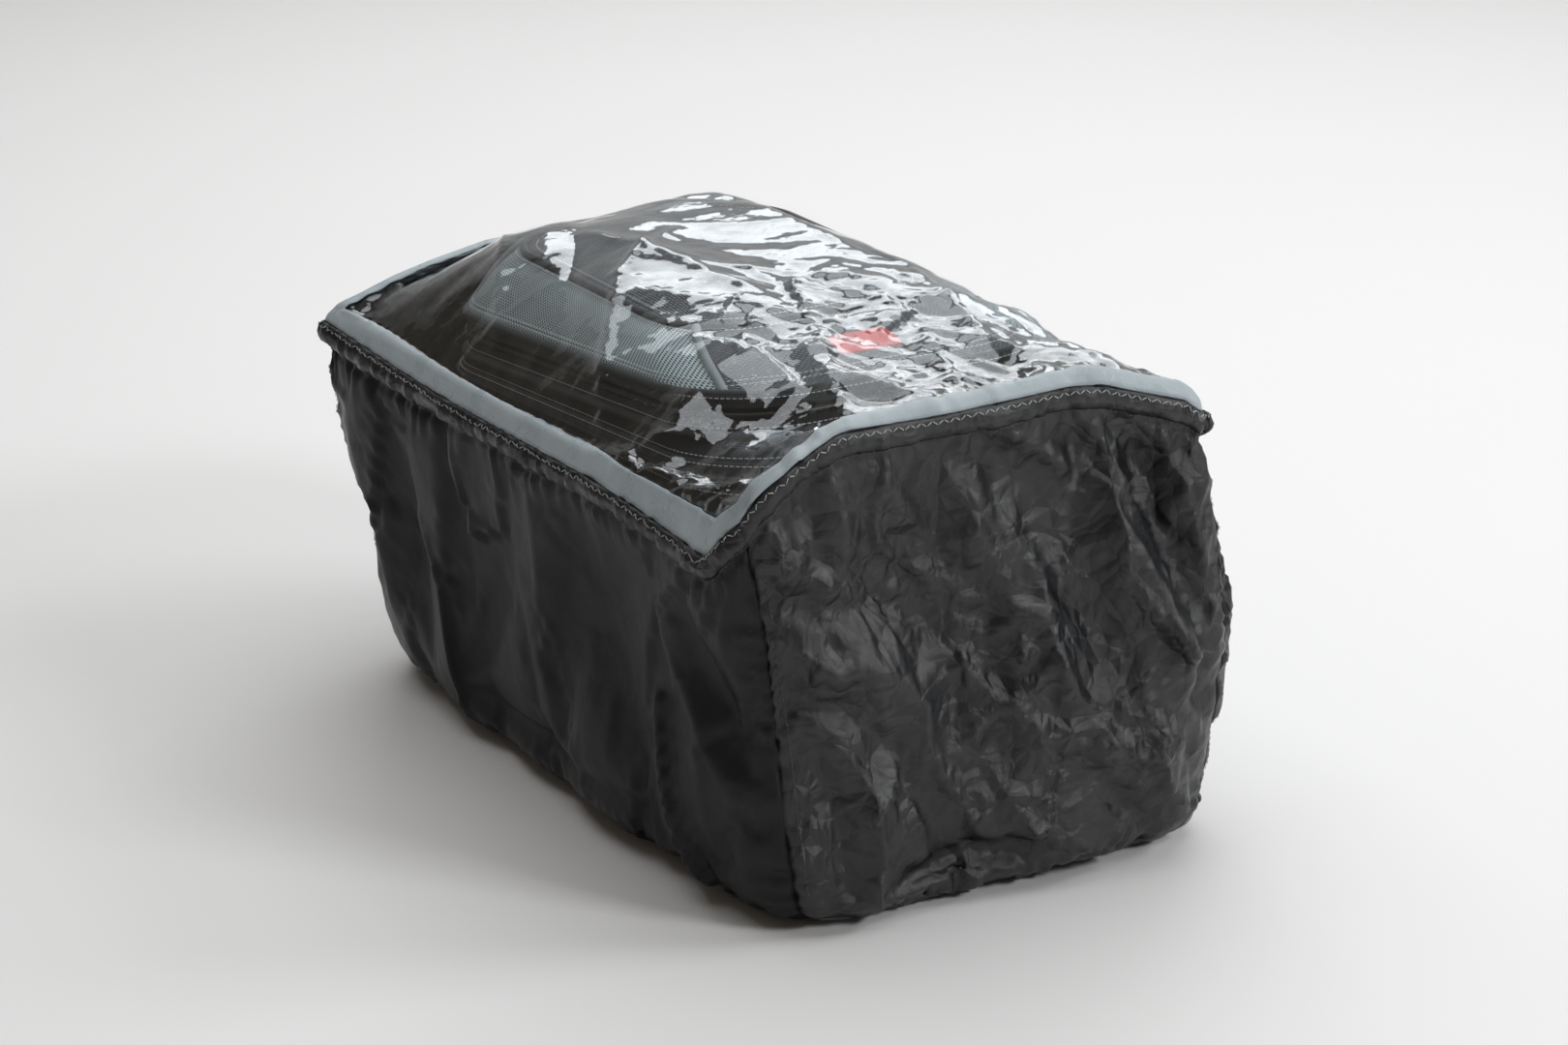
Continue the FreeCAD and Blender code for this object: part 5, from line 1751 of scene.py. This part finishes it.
@dataclass
class Lid(Walls):
    """The domed lid: foam shell, fabric panels, piping, upper zip tape and hinge flap."""

    body: str = "lid"
    low: float = 0.016
    levels: tuple[float, float, float] = (0.0, 0.62, 1.0)
    rounding: float = 0.55
    cloth_thick: float = 0.0009
    corner_radius: float = 0.0026

    def dome(self, where: Array, grow: float) -> Array:
        """The lid's face from the zip line over the crown to the cap."""
        return flow([ZIP_LINE.points(grow, self.low), CROWN_LINE.points(grow, grow),
                     CAP_LINE.points(grow, grow)], self.levels, where, self.rounding)

    def build(self) -> None:
        """Make every piece of the lid."""
        self.make_foam()
        self.make_side_panels()
        self.make_top_panel()
        self.make_edge_piping()
        self.make_corner_piping()
        self.make_upper_tape()
        self.make_patch()

    def closed_dome(self, name: str, rows: Array, under: Array) -> bpy.types.Object:
        """A closed shell from the outer rows and the inner rows, both from the edge to the middle."""
        points = np.concatenate([under[::-1], rows])
        return make_mesh(name, points, closed_faces(points), travel(points))

    def crowned(self, where: Array, grow: float, lift: float) -> Array:
        """The dome closed to its middle: rows up to the cap, then shrinking loops that still rise.

        Args:
            where: places of the rows up to the cap.
            grow: distance outwards.
            lift: how much higher the middle is than the cap's edge.

        Returns:
            Rows of points, from the lid's edge to its middle.
        """
        rows = self.dome(where, grow)
        cap = rows[-1]
        centre = cap.mean(axis=0)
        inner = [centre + (cap - centre) * share + np.array([0, 0, lift * (1 - share * share)])
                 for share in (0.8, 0.55, 0.3, 0.1, 0.01)]
        return np.concatenate([rows, np.array(inner)])

    def make_foam(self) -> None:
        """The moulded foam dome under the fabric."""
        where = np.linspace(0, 1, 30)
        piece = self.closed_dome("lid_foam_dome", self.crowned(where, 0.0002, 0.0028),
                                 self.crowned(where, -0.005, 0.0020))
        self.put(piece, "lid_foam", "lid_shell")

    def make_side_panels(self) -> None:
        """Air mesh on both sides, woven fabric in front and behind, each a little crowned."""
        where = np.linspace(0.02, 0.615, 26)
        rows = self.dome(where, 0.0012)
        climb = np.sin((where - 0.02) / 0.595 * np.pi)[:, None] ** 0.6
        puff = corner_fade(0.10) ** 0.6 * climb * 0.0026
        rows = rows + grid_normals(rows, True) * puff[..., None]
        looks = (("lid_side_mesh_left", "lid_mesh_left", "air_mesh"),
                 ("lid_front_cloth", "lid_front_panel", "woven_top"),
                 ("lid_side_mesh_right", "lid_mesh_right", "air_mesh"),
                 ("lid_rear_cloth", "lid_rear_panel", "woven_top"))
        start = 0
        for (name, node, finish), count in zip(looks, BAG_PERIMETER.counts()):
            index = np.arange(start, start + count + 1) % rows.shape[1]
            panel = rows[:, index]
            piece = make_mesh(name, panel, grid_faces(*panel.shape[:2]), travel(panel))
            thicken(piece, self.cloth_thick)
            self.put(piece, finish, node)
            start += count

    def make_top_panel(self) -> None:
        """The woven top inside the crown piping."""
        where = np.linspace(0.635, 1.0, 16)
        rows = self.crowned(where, 0.0014, 0.0030)
        piece = make_mesh("lid_top_cloth", rows, closed_faces(rows, first=False), rows[..., :2])
        thicken(piece, self.cloth_thick)
        self.put(piece, "woven_top", "lid_top_panel")

    def make_edge_piping(self) -> None:
        """Piping round the lid's lower edge and round its crown, with stitches beside both."""
        edge = self.dome(np.array([0.045]), 0.0018)[0]
        self.put(tube("lid_edge_cord", edge, self.piping_radius, 12, True), "black_piping", "lid_edge_piping")
        crown = self.dome(np.array([0.625]), 0.0018)[0]
        self.put(tube("lid_crown_cord", crown, self.piping_radius, 12, True), "black_piping",
                 "lid_crown_piping")
        for number, place in enumerate((0.100, 0.135, 0.575, 0.680)):
            rows = self.dome(np.array([place - 0.01, place, place + 0.01]), 0.0012)
            outward = grid_normals(rows, True)[1]
            reach = 0.0010 + 0.0024 * math.sin(min(max((place - 0.02) / 0.595, 0.0), 1.0) * math.pi) ** 0.6
            path = rows[1] + outward * (0.0004 + reach * corner_fade(0.10)[:, None] ** 0.6)
            self.sew(f"lid_stitches_{number}", looped(path), looped(outward))

    def make_corner_piping(self) -> None:
        """Thick grey piping up the lid's four rounded corners."""
        where = np.linspace(0.05, 0.615, 30)
        rows = self.dome(where, 0.0020)
        counts = np.cumsum([0] + BAG_PERIMETER.counts()[:3])
        for number, column in enumerate(counts):
            cord = tube(f"lid_corner_cord_{number}", rows[:, column], self.corner_radius, 12)
            self.put(cord, "grey_piping", "lid_corner_piping")

    def make_upper_tape(self) -> None:
        """The upper half of the main zip's tape and the hinge flap behind."""
        rows = self.band("main_tape_high", 0.0108, 0.0172, 0.0, "zip_tape", "main_zip_upper_tape", True)
        outward = grid_normals(rows)[4]
        self.sew("main_stitches_high", rows[5] + outward * 0.0002, outward)
        self.band("hinge_flap", 0.0008, 0.0172, 0.0004, "black_nylon", "lid_hinge_flap", False,
                  self.tape_thick)

    def make_patch(self) -> None:
        """A plain red patch with rounded corners and a raised rim on the lid's front slope."""
        half_wide, half_high = 0.019, 0.0105
        across, along = np.meshgrid(np.linspace(-1, 1, 41), np.linspace(-1, 1, 41))
        squeeze = np.maximum(np.abs(across), np.abs(along))
        length = np.hypot(across, along)
        round_off = np.where(length > 0, squeeze / np.maximum(length, 1e-9), 1.0)
        mix = 0.22 * squeeze ** 6
        across, along = across * (1 - mix + mix * round_off), along * (1 - mix + mix * round_off)
        front = self.dome(np.linspace(0.02, 0.62, 40), 0.0052)
        columns = np.flatnonzero(BAG_PERIMETER.columns()[0] == 1)
        panel = front[:, columns]
        centre = len(columns) / 2
        spacing = np.linalg.norm(panel[20, int(centre) + 1] - panel[20, int(centre)])
        climb = np.linalg.norm(np.diff(panel[:, int(centre)], axis=0), axis=-1).mean()
        column = centre + across * half_wide / spacing
        row = 20 + along * half_high / climb
        rim = np.clip((1 - squeeze) / 0.12, 0, 1)
        rise = np.sqrt(np.clip(rim, 0, 1)) * 0.0011 - np.clip((1 - squeeze) / 0.3 - 0.5, 0, 1) * 0.0004
        points = sample(panel, row, column)
        normal = sample(grid_normals(panel), row, column)
        surface = np.stack([across * half_wide, along * half_high], axis=-1)
        piece = make_mesh("red_patch_plate", points + normal * (rise[..., None] - 0.0004),
                          grid_faces(*across.shape), surface)
        thicken(piece, 0.0006)
        self.put(piece, "red_patch", "lid_patch")


@dataclass
class Handle:
    """The webbing carry handle on the sloping front, its grip and its anchor patches."""

    wardrobe: Wardrobe
    lean: float = math.atan2(0.077, 0.101)
    foot: tuple[float, float, float] = (0.1828, 0.008, 0.158)
    chord: float = 0.052
    bow: float = 0.015
    width: float = 0.024
    thick: float = 0.0024
    grip_reach: float = 0.55
    grip_thick: float = 0.0068
    patch_thick: float = 0.0012

    def place(self, local: Array) -> Array:
        """Carry points from the slope's own frame to the object's.

        Args:
            local: distances out from the slope, level along it and up it.

        Returns:
            The points in the object's frame.
        """
        out = np.array([math.cos(self.lean), 0.0, math.sin(self.lean)])
        up = np.array([-math.sin(self.lean), 0.0, math.cos(self.lean)])
        return (np.array(self.foot) + local[..., :1] * out + local[..., 1:2] * np.array([0.0, 1.0, 0.0])
                + local[..., 2:] * up)

    def arc(self, share: Array) -> tuple[Array, Array, Array]:
        """The bowed strap: an arc of a circle over its chord.

        Args:
            share: places along the strap, from -1 to 1.

        Returns:
            Distance out, distance level and angle for each place.
        """
        radius = (self.chord ** 2 + self.bow ** 2) / (2 * self.bow)
        angle = share * math.asin(self.chord / radius)
        return self.bow - radius + radius * np.cos(angle) + 0.0032, radius * np.sin(angle), angle

    def strip(self, name: str, reach: float, wide: float, thick: float, crown: float) -> bpy.types.Object:
        """A closed strap of superelliptic section carried along the bow.

        Args:
            name: the piece's name.
            reach: how far along the bow it goes both ways, as a share.
            wide: its width.
            thick: its thickness.
            crown: power of the section's sine; smaller is flatter.

        Returns:
            The piece.
        """
        share = np.linspace(-reach, reach, 49)
        out, level, angle = self.arc(share)
        turn = np.linspace(0, 2 * np.pi, 28, endpoint=False)
        flat = np.sign(np.cos(turn)) * np.abs(np.cos(turn)) ** 0.35
        deep = np.sign(np.sin(turn)) * np.abs(np.sin(turn)) ** crown
        ends = np.clip((reach - np.abs(share)) / (reach * 0.06), 0, 1) ** 0.5 * 0.25 + 0.75
        reach_out = deep[None, :] * thick / 2 * ends[:, None]
        up = np.broadcast_to(flat[None, :] * wide / 2, reach_out.shape) * ends[:, None]
        local = np.stack([out[:, None] + np.cos(angle)[:, None] * reach_out,
                          level[:, None] + np.sin(angle)[:, None] * reach_out, up], axis=-1)
        points = self.place(local)
        return make_mesh(name, points, closed_faces(points), travel(points))

    def build(self) -> None:
        """Make strap, grip and anchors."""
        strap = self.strip("handle_strap", 1.0, self.width, self.thick, 0.5)
        self.wardrobe.put(strap, "black_webbing", "bag", "carry_handle")
        grip = self.strip("handle_sleeve", self.grip_reach, self.width + 0.005, self.grip_thick, 0.8)
        self.wardrobe.put(grip, "grip_padding", "bag", "handle_grip")
        self.make_anchors()

    def make_anchors(self) -> None:
        """Two fabric patches with box stitching that hold the strap's ends."""
        u, v = np.meshgrid(np.linspace(-1, 1, 21), np.linspace(-1, 1, 21))
        rim = np.minimum(1 - np.abs(u), 1 - np.abs(v))
        rise = np.clip(rim / 0.15, 0, 1) ** 0.5 * 0.0012 - 0.0030
        grids, faces, base = [], [], 0
        for side in (-1, 1):
            local = np.stack([rise, v * 0.011 + side * (self.chord + 0.001),
                              u * (self.width + 0.004) / 2], axis=-1)
            grids.append(self.place(local).reshape(-1, 3))
            faces.append(grid_faces(*u.shape)[:, ::-1] + base)
            base += u.size
        uv = np.tile(np.stack([u * 0.014, v * 0.011], axis=-1).reshape(-1, 2), (2, 1))
        piece = make_mesh("handle_patches", np.concatenate(grids), np.concatenate(faces), uv)
        thicken(piece, self.patch_thick)
        self.wardrobe.put(piece, "black_nylon", "bag", "handle_anchors")
        for number, side in enumerate((-1, 1)):
            box = [(-1, -1), (1, -1), (1, 1), (-1, 1), (-1, -1), (1, 1)]
            corners = np.array(box, float) * (0.0095, 0.0075)
            run = np.linspace(0, 5, 100)
            level = np.interp(run, range(6), corners[:, 1]) + side * (self.chord + 0.001)
            path = np.stack([np.full(100, -0.0012), level, np.interp(run, range(6), corners[:, 0])], axis=-1)
            out = np.array([math.cos(self.lean), 0.0, math.sin(self.lean)])
            stitches = stitch_row(f"handle_stitches_{number}", self.place(path), np.tile(out, (100, 1)),
                                  0.0030, 0.0022, 0.0006)
            self.wardrobe.put(stitches, "thread", "bag", slot="black_webbing")


# ------------------------------------------------------------------ studio

@dataclass
class Studio:
    """Floor, lamps and camera."""

    wardrobe: Wardrobe
    azimuth: float = math.radians(59.055)
    elevation: float = math.radians(19.8)
    eye: tuple[float, float, float] = (1.70922, -1.00777, 0.84037)
    lens: float = 90.58

    def build(self) -> None:
        """Make all three."""
        self.make_floor()
        self.make_camera()
        self.make_lamps()

    def make_floor(self) -> None:
        """Seamless paper: flat, then a quarter circle up behind the bag, then upright."""
        away = np.array([-math.sin(self.azimuth), math.cos(self.azimuth)])
        side = np.array([math.cos(self.azimuth), math.sin(self.azimuth)])
        bend = np.linspace(0, np.pi / 2, 25)
        run = np.concatenate([np.linspace(-3.0, 2.6, 30), 2.6 + 1.2 * np.sin(bend[1:]), [3.8]])
        height = np.concatenate([np.zeros(30), 1.2 * (1 - np.cos(bend[1:])), [3.6]])
        across = np.linspace(-4.0, 4.0, 9)
        plan = run[:, None, None] * away + across[None, :, None] * side
        level = np.broadcast_to(height[:, None, None], plan.shape[:2] + (1,))
        points = np.concatenate([plan, level], axis=-1)
        floor = make_mesh("studio_floor", points, grid_faces(len(run), len(across))[:, ::-1])
        floor.data.materials.append(self.wardrobe.materials["studio_paper"])

    def make_camera(self) -> None:
        """A long lens that looks down on the near front corner."""
        data = bpy.data.cameras.new("camera")
        data.lens = self.lens
        data.sensor_width = 36.0
        camera = bpy.data.objects.new("camera", data)
        camera.location = self.eye
        camera.rotation_euler = (math.pi / 2 - self.elevation, 0.0, self.azimuth)
        bpy.context.scene.collection.objects.link(camera)
        bpy.context.scene.camera = camera

    def lamp(self, name: str, place: tuple[float, float, float], aim: tuple[float, float, float],
             size: tuple[float, float], power: float) -> None:
        """A rectangular soft lamp, a little cool, that faces a point.

        Args:
            name: the lamp's name.
            place: where it stands.
            aim: the point that it faces.
            size: its width and height.
            power: its power in watts.
        """
        data = bpy.data.lights.new(name, "AREA")
        data.shape = "RECTANGLE"
        data.size, data.size_y = size
        data.energy = power
        data.color = (0.975, 0.99, 1.0)
        lamp = bpy.data.objects.new(name, data)
        ahead = np.array(aim) - np.array(place)
        ahead = ahead / np.linalg.norm(ahead)
        lamp.location = place
        lamp.rotation_euler = (math.acos(-ahead[2]), 0.0, math.atan2(ahead[1], ahead[0]) - math.pi / 2)
        bpy.context.scene.collection.objects.link(lamp)

    def make_lamps(self) -> None:
        """An overhead softbox, one behind, a key from the right and a small one before the front."""
        world = bpy.data.worlds.new("studio")
        world.use_nodes = True
        world.node_tree.nodes["Background"].inputs[0].default_value = (1.0, 0.87, 0.72, 1.0)
        world.node_tree.nodes["Background"].inputs[1].default_value = 0.13
        bpy.context.scene.world = world
        bpy.context.scene.view_settings.view_transform = "Standard"
        self.lamp("overhead", (-0.5, 0.2, 2.3), (-0.2, 0.1, 0.0), (3.0, 2.4), 42.0)
        self.lamp("back", (-1.7, 1.3, 1.5), (0.0, 0.0, 0.2), (1.8, 1.0), 14.0)
        self.lamp("key", (1.2, 2.6, 2.1), (0.0, 0.0, 0.15), (1.0, 1.0), 32.0)
        self.lamp("front", (2.3, 1.2, 1.7), (0.2, 0.0, 0.2), (0.7, 0.5), 32.0)


# ------------------------------------------------------------------ the carried-over CAD nodes

KEPT = {
    "base_pad": "anti_slip_rubber", "base_board": "moulded_board", "receiver_ring": "ring_plastic",
    "backing_plate": "moulded_board", "ring_screws": "steel_fastener", "ring_nuts": "steel_fastener",
    "latch_bolt": "ring_plastic", "main_slider_left": "black_metal", "main_slider_right": "black_metal",
    "expansion_slider": "black_metal", "main_pull_left": "black_metal", "main_pull_right": "black_metal",
    "expansion_pull": "black_metal",
}


def dress_kept_nodes(wardrobe: Wardrobe) -> None:
    """Give every CAD node that still shows its finish."""
    for name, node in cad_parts.items():
        finish = KEPT.get(name, "black_nylon")
        node.data.materials.clear()
        node.data.materials.append(wardrobe.materials[finish])


def main() -> None:
    """Build everything in order."""
    logging.basicConfig(level=logging.INFO, format="%(name)s: %(message)s")
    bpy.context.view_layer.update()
    wardrobe = Wardrobe()
    Studio(wardrobe).build()
    form = CoverForm()
    ring = Skirt(form, wardrobe).build()
    Film(form, wardrobe).build(ring)
    CoverTrim(form, wardrobe).build(ring)
    Walls(wardrobe).build()
    Lid(wardrobe).build()
    Handle(wardrobe).build()
    dress_kept_nodes(wardrobe)


if __name__ == "__main__":
    main()
